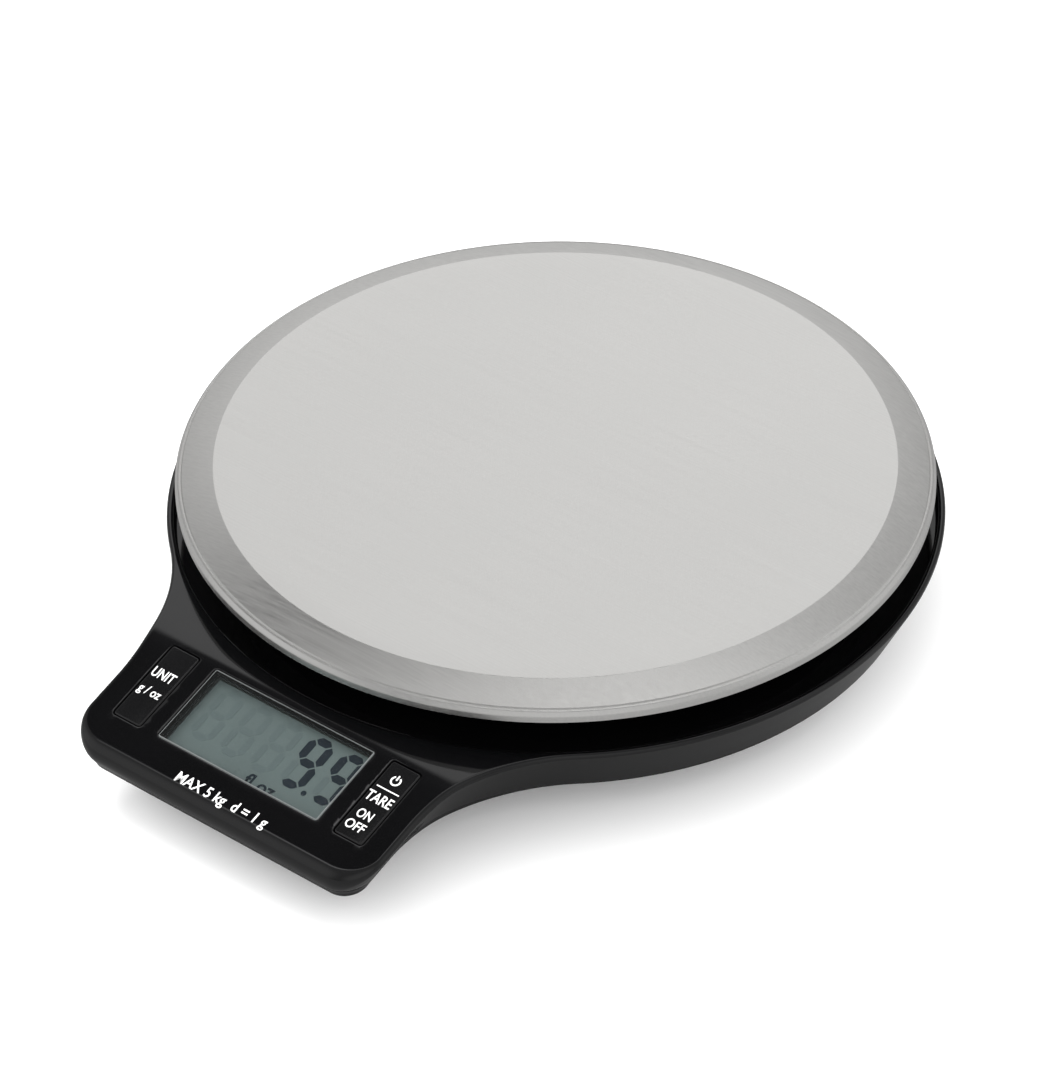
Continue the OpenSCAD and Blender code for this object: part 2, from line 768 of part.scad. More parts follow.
// A conical contact spring, nearly closed up by the cell that it presses on
module contact_spring(side, row) {
    length = (bay_l - cell_l) / 2 - contact_t;
    pitch = (length - 0.75) / (spring_turns - 1);
    for (i = [0 : spring_turns - 1])
        translate([side * (bay_l / 2 - 0.8 - i * pitch), bay_front + (row + 0.5) * cell_pitch, cell_z])
            rotate([0, 90, 0]) rotate_extrude($fn = small_fn)
                translate([spring_wide_r - i * spring_taper, 0]) circle(r = spring_wire_r, $fn = wire_fn);
}

module contact_dimple(side, row) {
    translate([side * (bay_l / 2 - contact_t), bay_front + (row + 0.5) * cell_pitch, cell_z])
        rotate([0, -90 * side, 0]) translate([0, 0, -eps])
            cylinder(r1 = 3, r2 = 1.6, h = (bay_l - cell_l) / 2 - contact_t + eps, $fn = small_fn);
}

module battery_link_contact() {
    color(steel) {
        contact_plate(1, 0);
        contact_plate(1, 1);
        contact_spring(1, 0);
        contact_dimple(1, 1);
        translate([bay_l / 2 - contact_t, bay_front + cell_pitch / 2, cell_z - 1])
            cube([contact_t, cell_pitch, 2]);
    }
}

module battery_positive_contact() {
    color(steel) {
        contact_plate(-1, 0);
        contact_dimple(-1, 0);
    }
}

module battery_negative_contact() {
    color(steel) {
        contact_plate(-1, 1);
        contact_spring(-1, 1);
    }
}

module foot(angle) {
    color(rubber_grey) rotate([0, 0, angle]) translate([foot_ring_r, 0, 0]) {
        translate([0, 0, foot_bevel])
            cylinder(r = foot_r - 0.1, h = floor_z + foot_sink - foot_bevel, $fn = small_fn);
        cylinder(r1 = foot_r - 0.1 - foot_bevel, r2 = foot_r - 0.1, h = foot_bevel + eps, $fn = small_fn);
    }
}

module self_tapper(seat_z, length) {
    translate([0, 0, seat_z - eps]) cylinder(r = screw_r, h = length, $fn = small_fn);
    difference() {
        translate([0, 0, seat_z - screw_head_h])
            cylinder(r = screw_head_r, h = screw_head_h, $fn = small_fn);
        for (turn = [0, 90]) rotate([0, 0, turn])
            translate([-1.8, -0.4, seat_z - screw_head_h - 1]) cube([3.6, 0.8, 2]);
    }
}

module housing_screws() {
    color(steel) body_screw_places() self_tapper(body_screw_seat, 10);
    color(steel) both_sides(tongue_screw[0]) translate([0, tongue_screw[1], 0])
        self_tapper(tongue_screw_seat, pilot_depth);
}

module rating_label() {
    color([0.82, 0.82, 0.8]) translate([0, label_y, 0]) plate(label_w, label_l, floor_z - label_t, floor_z);
}

seat() platter();
seat() platter_carrier();
seat() platter_pads();
seat() carrier_screws();
seat() top_housing();
seat() bottom_housing();
seat() window_lens();
seat() window_gasket();
seat() lcd_frame();
seat() lcd_glass();
seat() elastomer_strips();
seat() circuit_board();
seat() chip_blob();
seat() board_components();
seat() crystal();
seat() board_screws();
seat() switch_body(-1);  // unit_switch_body
seat() switch_body(1);  // tare_switch_body
seat() panel_button(-1);  // unit_button
seat() panel_button(1);  // tare_button
seat() switch_plunger(-1);  // unit_switch_plunger
seat() switch_plunger(1);  // tare_switch_plunger
seat() load_cell();
seat() strain_gauge_cover();
seat() load_cell_plate();
seat() load_cell_screws();
seat() load_cell_wires();
seat() battery_wires();
seat() wire_clip();
seat() cell_place(0, -1) cell();  // battery_front
seat() cell_place(1, 1) cell();  // battery_rear
seat() battery_link_contact();
seat() battery_positive_contact();
seat() battery_negative_contact();
seat() battery_door();
seat() foot(225);  // foot_front_left
seat() foot(315);  // foot_front_right
seat() foot(135);  // foot_rear_left
seat() foot(45);  // foot_rear_right
seat() housing_screws();
seat() rating_label();
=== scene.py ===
import bpy
import math
import numpy as np
from mathutils import Matrix, Vector


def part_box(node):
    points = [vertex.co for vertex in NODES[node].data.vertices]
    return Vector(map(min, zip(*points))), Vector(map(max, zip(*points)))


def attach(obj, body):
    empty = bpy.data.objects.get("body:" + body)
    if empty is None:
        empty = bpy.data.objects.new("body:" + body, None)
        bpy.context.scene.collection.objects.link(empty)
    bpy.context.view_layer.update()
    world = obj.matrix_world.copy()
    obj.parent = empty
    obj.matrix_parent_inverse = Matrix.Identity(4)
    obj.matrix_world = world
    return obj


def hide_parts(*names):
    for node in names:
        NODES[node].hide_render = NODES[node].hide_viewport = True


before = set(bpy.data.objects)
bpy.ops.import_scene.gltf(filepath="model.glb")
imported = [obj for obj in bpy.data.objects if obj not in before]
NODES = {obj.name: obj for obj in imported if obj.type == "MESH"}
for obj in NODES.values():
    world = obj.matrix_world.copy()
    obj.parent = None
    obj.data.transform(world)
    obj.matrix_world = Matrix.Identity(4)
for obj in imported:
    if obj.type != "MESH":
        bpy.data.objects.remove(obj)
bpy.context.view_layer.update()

# ---------------------------------------------------------------- frame
# Shapes are worked out in millimetres about the load axis, the middle of the platter, as in the CAD.
MM = 0.001
plat_lo, plat_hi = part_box("platter")
AXIS_Y = (plat_lo.y + plat_hi.y) / 2
CREASE_Z = plat_hi.z - 2.6 * MM

OVERALL_H = plat_hi.z / MM
PLATTER_R = (plat_hi.x - plat_lo.x) / 2 / MM
BODY_R = 92.5
DECK_R = 90.2
DECK_Z = 22.5
ROOF_Z = 20.3
RIM_Z = 26.1
SEAM_Z = 12.4
TRAY_Z = 9.5
FLOOR_Z = 2.0
FLOOR_R = 73.0
WALL = 2.2
TONGUE_HALF = 43.5
TONGUE_REACH = 126.9
CORNER_R = 9.5
FLARE_R = 51.0
PANEL_Y = -106.45
PANEL_Z = 22.95
SLOPE = math.radians(14.7)
RISE = math.tan(SLOPE)
BUTTON_X = 32.7


def to_row(points):
    """Millimetres about the load axis to the row frame in metres."""
    p = np.asarray(points, float) * MM
    p[:, 1] += AXIS_Y
    return p


def panel_points(uvw):
    """Points given along the panel, up its slope and out of it, to millimetres about the load axis."""
    q = np.asarray(uvw, float).reshape(-1, 3)
    c, s = math.cos(SLOPE), math.sin(SLOPE)
    return np.stack([q[:, 0], PANEL_Y + q[:, 1] * c - q[:, 2] * s, PANEL_Z + q[:, 1] * s + q[:, 2] * c], 1)


def smooth(x):
    x = np.clip(x, 0, 1)
    return x * x * (3 - 2 * x)


# ---------------------------------------------------------------- pieces
def raw_object(name, verts, faces, material=None):
    mesh = bpy.data.meshes.new(name)
    mesh.from_pydata([tuple(v) for v in to_row(verts)], [], faces)
    mesh.update()
    if material:
        mesh.materials.append(material)
    obj = bpy.data.objects.new(name, mesh)
    bpy.context.scene.collection.objects.link(obj)
    return obj


def add_piece(name, verts, faces, material, body, replaces=(), slot=None, sharp=30):
    obj = raw_object(name, *facing_out(verts, faces), material)
    obj.data.validate()
    finish_piece(obj, body, replaces, sharp)
    return obj


def finish_piece(obj, body, replaces=(), sharp=30):
    shade(obj, sharp)
    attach(obj, body)
    if replaces:
        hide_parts(*replaces)


def shade(obj, sharp):
    mesh = obj.data
    mesh.polygons.foreach_set("use_smooth", [True] * len(mesh.polygons))
    mesh.set_sharp_from_angle(angle=math.radians(sharp))
    mesh.update()


def loft(loops, cap_first=True, cap_last=True, close=False):
    """Faces between loops of equal length; each loop runs counterclockwise seen from the last loop's side."""
    n = len(loops[0])
    verts = np.concatenate([np.asarray(l, float) for l in loops])
    faces = []
    pairs = [(k, k + 1) for k in range(len(loops) - 1)]
    if close:
        pairs.append((len(loops) - 1, 0))
    for a, b in pairs:
        for i in range(n):
            j = (i + 1) % n
            faces.append((a * n + i, a * n + j, b * n + j, b * n + i))
    if cap_first and not close:
        faces.append(tuple(reversed(range(n))))
    if cap_last and not close:
        last = (len(loops) - 1) * n
        faces.append(tuple(range(last, last + n)))
    return verts, faces


def rounded_rect(w, l, r, n=6):
    """Counterclockwise loop of (u, v) points."""
    r = max(min(r, w / 2 - 0.001, l / 2 - 0.001), 0.01)
    cu, cv = w / 2 - r, l / 2 - r
    out = []
    for cx, cy, start in ((cu, cv, 0), (-cu, cv, 90), (-cu, -cv, 180), (cu, -cv, 270)):
        for k in range(n + 1):
            a = math.radians(start + 90 * k / n)
            out.append((cx + r * math.cos(a), cy + r * math.sin(a)))
    return out


def panel_prism(w, l, r, levels, u0=0.0, v0=0.0):
    """A rounded rectangle standing on the panel; levels are (height along the normal, growth)."""
    loops = []
    for h, grow in levels:
        outline = rounded_rect(w + 2 * grow, l + 2 * grow, r + grow)
        loops.append(panel_points([(u0 + u, v0 + v, h) for u, v in outline]))
    return loft(loops)


def facing_out(verts, faces):
    """The same closed mesh with its faces turned outwards."""
    v = np.asarray(verts, float)
    volume = 0.0
    for f in faces:
        q = v[list(f)]
        fan = np.cross(q[1:-1] - q[0], q[2:] - q[0])
        volume += np.einsum("ij,ij->", fan, np.repeat(q[:1], len(q) - 2, 0))
    return (verts, faces) if volume > 0 else (verts, [tuple(reversed(f)) for f in faces])


def join_parts(parts):
    verts, faces, base = [], [], 0
    for v, f in parts:
        v = np.asarray(v, float)
        verts.append(v)
        faces += [tuple(i + base for i in face) for face in f]
        base += len(v)
    return np.concatenate(verts), faces


def fillet(points, radii, steps=5):
    """Rounds the corners of an open polyline of (r, z) points."""
    out = [points[0]]
    for k in range(1, len(points) - 1):
        p, a, b = (np.array(points[i], float) for i in (k, k - 1, k + 1))
        r = radii[k]
        if r <= 0:
            out.append(tuple(p))
            continue
        da, db = (a - p) / np.linalg.norm(a - p), (b - p) / np.linalg.norm(b - p)
        half = math.acos(np.clip(da @ db, -1, 1)) / 2
        reach = r / math.tan(half)
        centre = p + (da + db) / np.linalg.norm(da + db) * r / math.sin(half)
        s, e = p + da * reach - centre, p + db * reach - centre
        a0 = math.atan2(s[1], s[0])
        turn = (math.atan2(e[1], e[0]) - a0 + math.pi) % (2 * math.pi) - math.pi
        for i in range(steps + 1):
            t = a0 + turn * i / steps
            out.append((centre[0] + r * math.cos(t), centre[1] + r * math.sin(t)))
    out.append(points[-1])
    return out


def circle(r, z, segments, x=0, y=0):
    angles = [2 * math.pi * i / segments for i in range(segments)]
    return [(x + r * math.cos(a), y + r * math.sin(a), z) for a in angles]


def lathe(profile, segments=256, x=0, y=0):
    """Turns a closed profile of (r, z) about an upright axis; points at r = 0 end it."""
    return loft([circle(max(r, 0.0005), z, segments, x, y) for r, z in profile])


def cross_rod(y, z, r, half_length, step):
    """A rod lying across the object, along X."""
    angles = [math.radians(t) for t in range(0, 360, step)]
    ends = (-half_length, half_length)
    return loft([[(x, y + r * math.cos(a), z + r * math.sin(a)) for a in angles] for x in ends])


def cut(obj, verts, faces):
    cutter = raw_object("cutter", verts, faces)
    mesh = cutter.data
    mod = obj.modifiers.new("cut", "BOOLEAN")
    mod.operation = "DIFFERENCE"
    mod.solver = "EXACT"
    mod.object = cutter
    bpy.context.view_layer.update()
    cutmesh = bpy.data.meshes.new_from_object(obj.evaluated_get(bpy.context.evaluated_depsgraph_get()))
    obj.modifiers.clear()
    old = obj.data
    obj.data = cutmesh
    bpy.data.meshes.remove(old)
    bpy.data.objects.remove(cutter)
    bpy.data.meshes.remove(mesh)


# ---------------------------------------------------------------- materials
def node(tree, kind, **values):
    n = tree.nodes.new(kind)
    for key, value in values.items():
        if hasattr(n, key) and key not in n.inputs:
            setattr(n, key, value)
        else:
            n.inputs[key.replace("_", " ")].default_value = value
    return n


def material(name, colour, rough, metallic=0.0, grain=2500, bump=0.05, depth=0.00002, rough_var=0.05,
             colour_var=0.12, blotch=90, wear=0.0, coat=0.0, specular=0.5, detail=4.0, streak=0.0):
    """A Principled finish with fine grain in its bump and roughness, slow colour variation, and paler
    worn edges. grain is one scale, or three where the grain runs one way."""
    mat = bpy.data.materials.new(name)
    mat.use_nodes = True
    t = mat.node_tree
    t.nodes.clear()
    out = t.nodes.new("ShaderNodeOutputMaterial")
    bsdf = t.nodes.new("ShaderNodeBsdfPrincipled")
    t.links.new(bsdf.outputs[0], out.inputs["Surface"])
    bsdf.inputs["Metallic"].default_value = metallic
    bsdf.inputs["Specular IOR Level"].default_value = specular
    bsdf.inputs["Coat Weight"].default_value = coat
    bsdf.inputs["Coat Roughness"].default_value = 0.04
    coord = t.nodes.new("ShaderNodeTexCoord")
    mapping = t.nodes.new("ShaderNodeMapping")
    mapping.inputs["Scale"].default_value = grain if isinstance(grain, tuple) else (grain,) * 3
    t.links.new(coord.outputs["Object"], mapping.inputs["Vector"])
    fine = node(t, "ShaderNodeTexNoise", Scale=1.0, Detail=detail, Roughness=0.6)
    t.links.new(mapping.outputs[0], fine.inputs["Vector"])
    slow = node(t, "ShaderNodeTexNoise", Scale=blotch, Detail=3.0, Roughness=0.5)
    t.links.new(coord.outputs["Object"], slow.inputs["Vector"])

    rough_range = t.nodes.new("ShaderNodeMapRange")
    rough_range.inputs["From Min"].default_value = 0.25
    rough_range.inputs["From Max"].default_value = 0.75
    rough_range.inputs["To Min"].default_value = max(rough - rough_var, 0.02)
    rough_range.inputs["To Max"].default_value = min(rough + rough_var, 1.0)
    t.links.new(fine.outputs["Fac"], rough_range.inputs["Value"])
    t.links.new(rough_range.outputs[0], bsdf.inputs["Roughness"])

    bumper = t.nodes.new("ShaderNodeBump")
    bumper.inputs["Strength"].default_value = bump
    bumper.inputs["Distance"].default_value = depth
    t.links.new(fine.outputs["Fac"], bumper.inputs["Height"])
    t.links.new(bumper.outputs[0], bsdf.inputs["Normal"])

    def tone(k):
        return tuple(min(c * k, 1.0) for c in colour) + (1.0,)

    mix = t.nodes.new("ShaderNodeMix")
    mix.data_type = "RGBA"
    a, b = [s for s in mix.inputs if s.type == "RGBA"][:2]
    a.default_value, b.default_value = tone(1 - colour_var), tone(1 + colour_var)
    t.links.new(slow.outputs["Fac"], mix.inputs["Factor"])
    result = [s for s in mix.outputs if s.type == "RGBA"][0]
    if streak:
        line = t.nodes.new("ShaderNodeMapRange")
        line.inputs["From Min"].default_value = 0.3
        line.inputs["From Max"].default_value = 0.7
        line.inputs["To Min"].default_value = 1 - streak
        line.inputs["To Max"].default_value = 1 + streak
        t.links.new(fine.outputs["Fac"], line.inputs["Value"])
        times = t.nodes.new("ShaderNodeVectorMath")
        times.operation = "SCALE"
        t.links.new(result, times.inputs[0])
        t.links.new(line.outputs[0], times.inputs["Scale"])
        result = times.outputs[0]
    if wear:
        geo = t.nodes.new("ShaderNodeNewGeometry")
        edge = t.nodes.new("ShaderNodeMapRange")
        edge.inputs["From Min"].default_value = 0.52
        edge.inputs["From Max"].default_value = 0.62
        edge.inputs["To Max"].default_value = wear
        t.links.new(geo.outputs["Pointiness"], edge.inputs["Value"])
        worn = t.nodes.new("ShaderNodeMix")
        worn.data_type = "RGBA"
        wa, wb = [s for s in worn.inputs if s.type == "RGBA"][:2]
        wb.default_value = tuple(min(c * 2.5 + 0.05, 1.0) for c in colour) + (1.0,)
        t.links.new(result, wa)
        t.links.new(edge.outputs[0], worn.inputs["Factor"])
        result = [s for s in worn.outputs if s.type == "RGBA"][0]
    t.links.new(result, bsdf.inputs["Base Color"])
    return mat


def clear_material(name):
    """Clear moulded acrylic: see-through head on, with its gloss growing at a grazing look."""
    mat = bpy.data.materials.new(name)
    mat.use_nodes = True
    t = mat.node_tree
    t.nodes.clear()
    out = t.nodes.new("ShaderNodeOutputMaterial")
    mix = t.nodes.new("ShaderNodeMixShader")
    clear = t.nodes.new("ShaderNodeBsdfTransparent")
    clear.inputs["Color"].default_value = (0.93, 0.95, 0.94, 1)
    gloss = t.nodes.new("ShaderNodeBsdfPrincipled")
    gloss.inputs["Base Color"].default_value = (0.55, 0.58, 0.57, 1)
    gloss.inputs["Specular IOR Level"].default_value = 1.0
    coord = t.nodes.new("ShaderNodeTexCoord")
    haze = node(t, "ShaderNodeTexNoise", Scale=700.0, Detail=3.0)
    t.links.new(coord.outputs["Object"], haze.inputs["Vector"])
    rough = t.nodes.new("ShaderNodeMapRange")
    rough.inputs["To Min"].default_value = 0.02
    rough.inputs["To Max"].default_value = 0.08
    t.links.new(haze.outputs["Fac"], rough.inputs["Value"])
    t.links.new(rough.outputs[0], gloss.inputs["Roughness"])
    grazing = t.nodes.new("ShaderNodeFresnel")
    grazing.inputs["IOR"].default_value = 1.33
    # Only the outer skin shines: on a back face the Fresnel node would give total reflection
    geo = t.nodes.new("ShaderNodeNewGeometry")
    front = t.nodes.new("ShaderNodeMath")
    front.operation = "SUBTRACT"
    front.inputs[0].default_value = 1.0
    t.links.new(geo.outputs["Backfacing"], front.inputs[1])
    share = t.nodes.new("ShaderNodeMath")
    share.operation = "MULTIPLY"
    t.links.new(grazing.outputs[0], share.inputs[0])
    t.links.new(front.outputs[0], share.inputs[1])
    t.links.new(share.outputs[0], mix.inputs["Fac"])
    t.links.new(clear.outputs[0], mix.inputs[1])
    t.links.new(gloss.outputs[0], mix.inputs[2])
    t.links.new(mix.outputs[0], out.inputs["Surface"])
    return mat


BRUSH = (22, 1900, 1900)
LOOKS = {
    "platter_steel": dict(colour=(0.71, 0.705, 0.69), rough=0.36, metallic=1.0, grain=BRUSH, bump=0.3,
                          depth=0.00001, rough_var=0.08, colour_var=0.03, blotch=14, detail=5.0,
                          streak=0.06),
    "carrier_plastic": dict(colour=(0.02, 0.02, 0.021), rough=0.5, grain=3500, bump=0.2),
    "silicone": dict(colour=(0.16, 0.16, 0.16), rough=0.6, grain=5000, bump=0.15),
    "screw_steel": dict(colour=(0.56, 0.56, 0.55), rough=0.32, metallic=1.0, grain=3000, bump=0.15,
                        wear=0.3),
    "housing_gloss": dict(colour=(0.0045, 0.0045, 0.005), rough=0.075, grain=900, bump=0.02,
                          depth=0.00002, rough_var=0.02, colour_var=0.2, blotch=60, wear=0.04),
    "base_plastic": dict(colour=(0.008, 0.008, 0.0085), rough=0.36, grain=4200, bump=0.35,
                         rough_var=0.08, wear=0.05),
    "foam_black": dict(colour=(0.012, 0.012, 0.012), rough=0.9, grain=6000, bump=0.6),
    "frame_plastic": dict(colour=(0.03, 0.03, 0.032), rough=0.5, grain=3000),
    "lcd_face": dict(colour=(0.097, 0.115, 0.118), rough=0.3, grain=1600, bump=0.02, specular=0.15,
                     rough_var=0.05, colour_var=0.05, blotch=45),
    "elastomer": dict(colour=(0.45, 0.22, 0.28), rough=0.6, grain=(30, 9000, 30), bump=0.2),
    "board": dict(colour=(0.012, 0.09, 0.035), rough=0.35, grain=1800, coat=0.3, colour_var=0.25),
    "epoxy": dict(colour=(0.01, 0.01, 0.011), rough=0.2, grain=500, bump=0.1),
    "components": dict(colour=(0.35, 0.3, 0.22), rough=0.45, grain=6000, colour_var=0.3, blotch=600),
    "crystal_can": dict(colour=(0.62, 0.62, 0.6), rough=0.25, metallic=1.0, grain=(60, 4000, 4000),
                        bump=0.15),
    "switch_plastic": dict(colour=(0.03, 0.03, 0.03), rough=0.4, grain=4000),
    "button_plastic": dict(colour=(0.006, 0.006, 0.0065), rough=0.17, grain=5200, bump=0.3,
                           rough_var=0.05, wear=0.06),
    "plunger_plastic": dict(colour=(0.55, 0.55, 0.52), rough=0.45, grain=3000),
    "cell_aluminium": dict(colour=(0.72, 0.73, 0.74), rough=0.34, metallic=1.0, grain=(2600, 60, 2600),
                           bump=0.3, wear=0.2, streak=0.06),
    "gauge_silicone": dict(colour=(0.7, 0.68, 0.6), rough=0.4, grain=700, bump=0.3),
    "plate_steel": dict(colour=(0.5, 0.5, 0.49), rough=0.38, metallic=1.0, grain=1200, bump=0.2,
                        colour_var=0.2, blotch=500),
    "wire_insulation": dict(colour=(0.4, 0.04, 0.03), rough=0.4, grain=2500, colour_var=0.25),
    "battery_sleeve": dict(colour=(0.02, 0.05, 0.13), rough=0.22, grain=900, coat=0.5, colour_var=0.15),
    "contact_nickel": dict(colour=(0.66, 0.64, 0.58), rough=0.24, metallic=1.0, grain=3000, bump=0.1),
    "foot_rubber": dict(colour=(0.035, 0.035, 0.036), rough=0.75, grain=4800, bump=0.5, colour_var=0.2),
    "label_film": dict(colour=(0.36, 0.36, 0.355), rough=0.3, grain=1500, bump=0.1),
    # Paler colour for the lens's bevel faces: a painted highlight, not the clear acrylic's own colour
    "lens_edge_highlight": dict(colour=(0.16, 0.17, 0.17), rough=0.3, grain=3000, bump=0.1, specular=0.8),
    "legend_ink": dict(colour=(0.82, 0.82, 0.81), rough=0.5, grain=5000, bump=0.2, colour_var=0.05),
    "lcd_segment": dict(colour=(0.012, 0.016, 0.023), rough=0.35, specular=0.1, grain=2500, bump=0.02,
                        colour_var=0.2, blotch=300),
    "lcd_ghost": dict(colour=(0.086, 0.103, 0.108), rough=0.3, specular=0.15, grain=2500, bump=0.02,
                      colour_var=0.06, blotch=300),
}
M = {name: material(name, **look) for name, look in LOOKS.items()}
M["clear_lens"] = clear_material("clear_lens")

FINISHES = {
    "carrier_plastic": ["platter_carrier"],
    "silicone": ["platter_pads"],
    "screw_steel": ["carrier_screws", "board_screws", "load_cell_screws", "housing_screws"],
    "base_plastic": ["bottom_housing", "battery_door", "wire_clip"],
    "foam_black": ["window_gasket"],
    "frame_plastic": ["lcd_frame"],
    "lcd_face": ["lcd_glass"],
    "elastomer": ["elastomer_strips"],
    "board": ["circuit_board"],
    "epoxy": ["chip_blob"],
    "components": ["board_components"],
    "crystal_can": ["crystal"],
    "switch_plastic": ["unit_switch_body", "tare_switch_body"],
    "plunger_plastic": ["unit_switch_plunger", "tare_switch_plunger"],
    "cell_aluminium": ["load_cell"],
    "gauge_silicone": ["strain_gauge_cover"],
    "plate_steel": ["load_cell_plate"],
    "wire_insulation": ["load_cell_wires", "battery_wires"],
    "battery_sleeve": ["battery_front", "battery_rear"],
    "contact_nickel": ["battery_link_contact", "battery_positive_contact", "battery_negative_contact"],
    "foot_rubber": ["foot_front_left", "foot_front_right", "foot_rear_left", "foot_rear_right"],
    "label_film": ["rating_label"],
}
for finish, parts in FINISHES.items():
    for part in parts:
        for s in NODES[part].material_slots:
            s.link = "OBJECT"
            s.material = M[finish]


# ---------------------------------------------------------------- the housing's outline
def half_outline():
    """Right half of the outline at its widest, from the middle of the front edge round to the back, as
    rows of x, y, outward normal x and y, and the point's share of the tongue and of its front edge."""
    rows = []
    cx, cy = TONGUE_HALF - CORNER_R, -TONGUE_REACH + CORNER_R

    def arc(x, y, r, a, tongue, front=0.0, outward=1):
        c, s = math.cos(a), math.sin(a)
        rows.append((x + r * c, y + r * s, outward * c, outward * s, tongue, front))

    for k in range(20):
        rows.append((cx * k / 20, -TONGUE_REACH, 0, -1, 1, 1))
    for k in range(25):
        a = math.radians(-90 + 90 * k / 24)
        arc(cx, cy, CORNER_R, a, 1, math.sin(a) ** 2)
    flare_x = TONGUE_HALF + FLARE_R
    flare_y = -math.sqrt((BODY_R + FLARE_R) ** 2 - flare_x ** 2)
    for k in range(1, 7):
        rows.append((TONGUE_HALF, cy + (flare_y - cy) * k / 7, 1, 0, 1, 0))
    meet = math.atan2(-flare_y, -flare_x)
    for k in range(41):
        a = math.pi + (meet - math.pi) * k / 40
        arc(flare_x, flare_y, FLARE_R, a, 1 - float(smooth(k / 40)), outward=-1)
    start = math.atan2(flare_y, flare_x)
    for k in range(1, 151):
        a = start + (math.pi / 2 - start) * k / 150
        arc(0, 0, BODY_R, a, 0)
    return np.array(rows)


right_half = half_outline()
left_half = right_half[1:-1][::-1] * np.array([-1, 1, -1, 1, 1, 1])
OUTLINE = np.concatenate([right_half, left_half])
# Points of the outline and their outward normals
P, N2 = OUTLINE[:, :2], OUTLINE[:, 2:4]
TONGUE, FRONT = OUTLINE[:, 4], OUTLINE[:, 5]
# Radius of the top edge, and how far the wall leans in for each millimetre down
EDGE_R = 0.9 + 0.3 * TONGUE + 2.6 * FRONT
TUCK = 0.473 * (1 - TONGUE) + 0.57 * TONGUE + 0.04 * FRONT
THETA = np.arctan2(P[:, 1], P[:, 0])
RADIAL = np.stack([np.cos(THETA), np.sin(THETA)], 1)
# Fine edge break of both shells at the seam
SEAM_BREAK = 0.2


def degrees_from_front(theta):
    return np.degrees(np.abs((theta + math.pi / 2 + math.pi) % (2 * math.pi) - math.pi))


def top_height(x, y, theta):
    """Height of the top surface outside the deck: the lower of the rim's land and the panel, blended."""
    r = np.hypot(x, y)
    blend = smooth((degrees_from_front(theta) - 16) / 22)
    back = DECK_Z + (RIM_Z - DECK_Z) * (1 - np.exp(-np.maximum(r - DECK_R, 0) / 0.28))
    panel = PANEL_Z + RISE * (y - PANEL_Y)
    k = 0.2 + 0.7 * blend
    return -k * np.logaddexp(-back / k, -panel / k)


def at_height(p, z):
    return np.column_stack([p, np.broadcast_to(z, len(P))])


def housing_loops():
    """The upper shell: from the deck's edge out over the top, down the wall, and back along the inside.
    Returns its loops, and how far inside the outline the wall stands at the seam."""
    dn = 0.05
    base = P - N2 * EDGE_R[:, None]
    z_a = top_height(base[:, 0], base[:, 1], THETA)
    ahead = base + N2 * dn
    fall = (z_a - top_height(ahead[:, 0], ahead[:, 1], THETA)) / dn
    phi0 = np.arctan(fall)
    phi1 = math.pi / 2 + np.arctan(TUCK)
    inset0 = EDGE_R * (1 - np.sin(phi0))
    start = P - N2 * inset0[:, None]
    z_start = top_height(start[:, 0], start[:, 1], THETA)
    z_c = z_start - EDGE_R * np.cos(phi0)
    phi1 = np.minimum(phi1, np.arccos(np.clip((SEAM_Z + 0.25 - z_c) / EDGE_R, -1, 1)))
    inner = DECK_R * RADIAL
    loops = []
    rows = 34
    for k in range(rows + 1):
        t = (k / rows) ** 1.9
        p = inner + (start - inner) * t
        z = top_height(p[:, 0], p[:, 1], THETA) if k else np.full(len(P), DECK_Z)
        loops.append(np.column_stack([p, z]))
    turns = 18
    for k in range(1, turns + 1):
        phi = phi0 + (phi1 - phi0) * k / turns
        p = P - N2 * (EDGE_R * (1 - np.sin(phi)))[:, None]
        loops.append(np.column_stack([p, z_c + EDGE_R * np.cos(phi)]))
    z_wall = z_c + EDGE_R * np.cos(phi1)
    inset_wall = EDGE_R * (1 - np.sin(phi1))
    for part in (0.5, 1.0):
        z = z_wall + (SEAM_Z + SEAM_BREAK - z_wall) * part
        loops.append(at_height(P - N2 * (inset_wall + TUCK * (z_wall - z))[:, None], z))
    seam_inset = inset_wall + TUCK * (z_wall - SEAM_Z)
    loops.append(at_height(P - N2 * (seam_inset + SEAM_BREAK)[:, None], SEAM_Z))
    loops.append(at_height(P - N2 * (seam_inset + WALL)[:, None], SEAM_Z))
    deep = 1 - smooth((degrees_from_front(THETA) - 22) / 8)
    roof_r = DECK_R - 3.5
    inner = roof_r * RADIAL
    top_in = P - N2 * (inset_wall + WALL)[:, None]
    under_top = top_height(top_in[:, 0], top_in[:, 1], THETA) - WALL - 0.3
    z_edge = ROOF_Z + deep * (np.minimum(under_top, z_wall) - ROOF_Z)
    inset_top = inset_wall + WALL + TUCK * np.maximum(z_wall - z_edge, 0)
    edge = P - N2 * inset_top[:, None]
    loops.append(np.column_stack([edge, z_edge]))
    for t in (0.1, 0.3, 0.5, 0.7, 0.85, 1.0):
        p = edge + (inner - edge) * t
        z = ROOF_Z + deep * (top_height(p[:, 0], p[:, 1], THETA) - WALL - ROOF_Z)
        if t == 1.0:
            z = np.full(len(P), ROOF_Z)
        loops.append(np.column_stack([p, z]))
    return loops, seam_inset


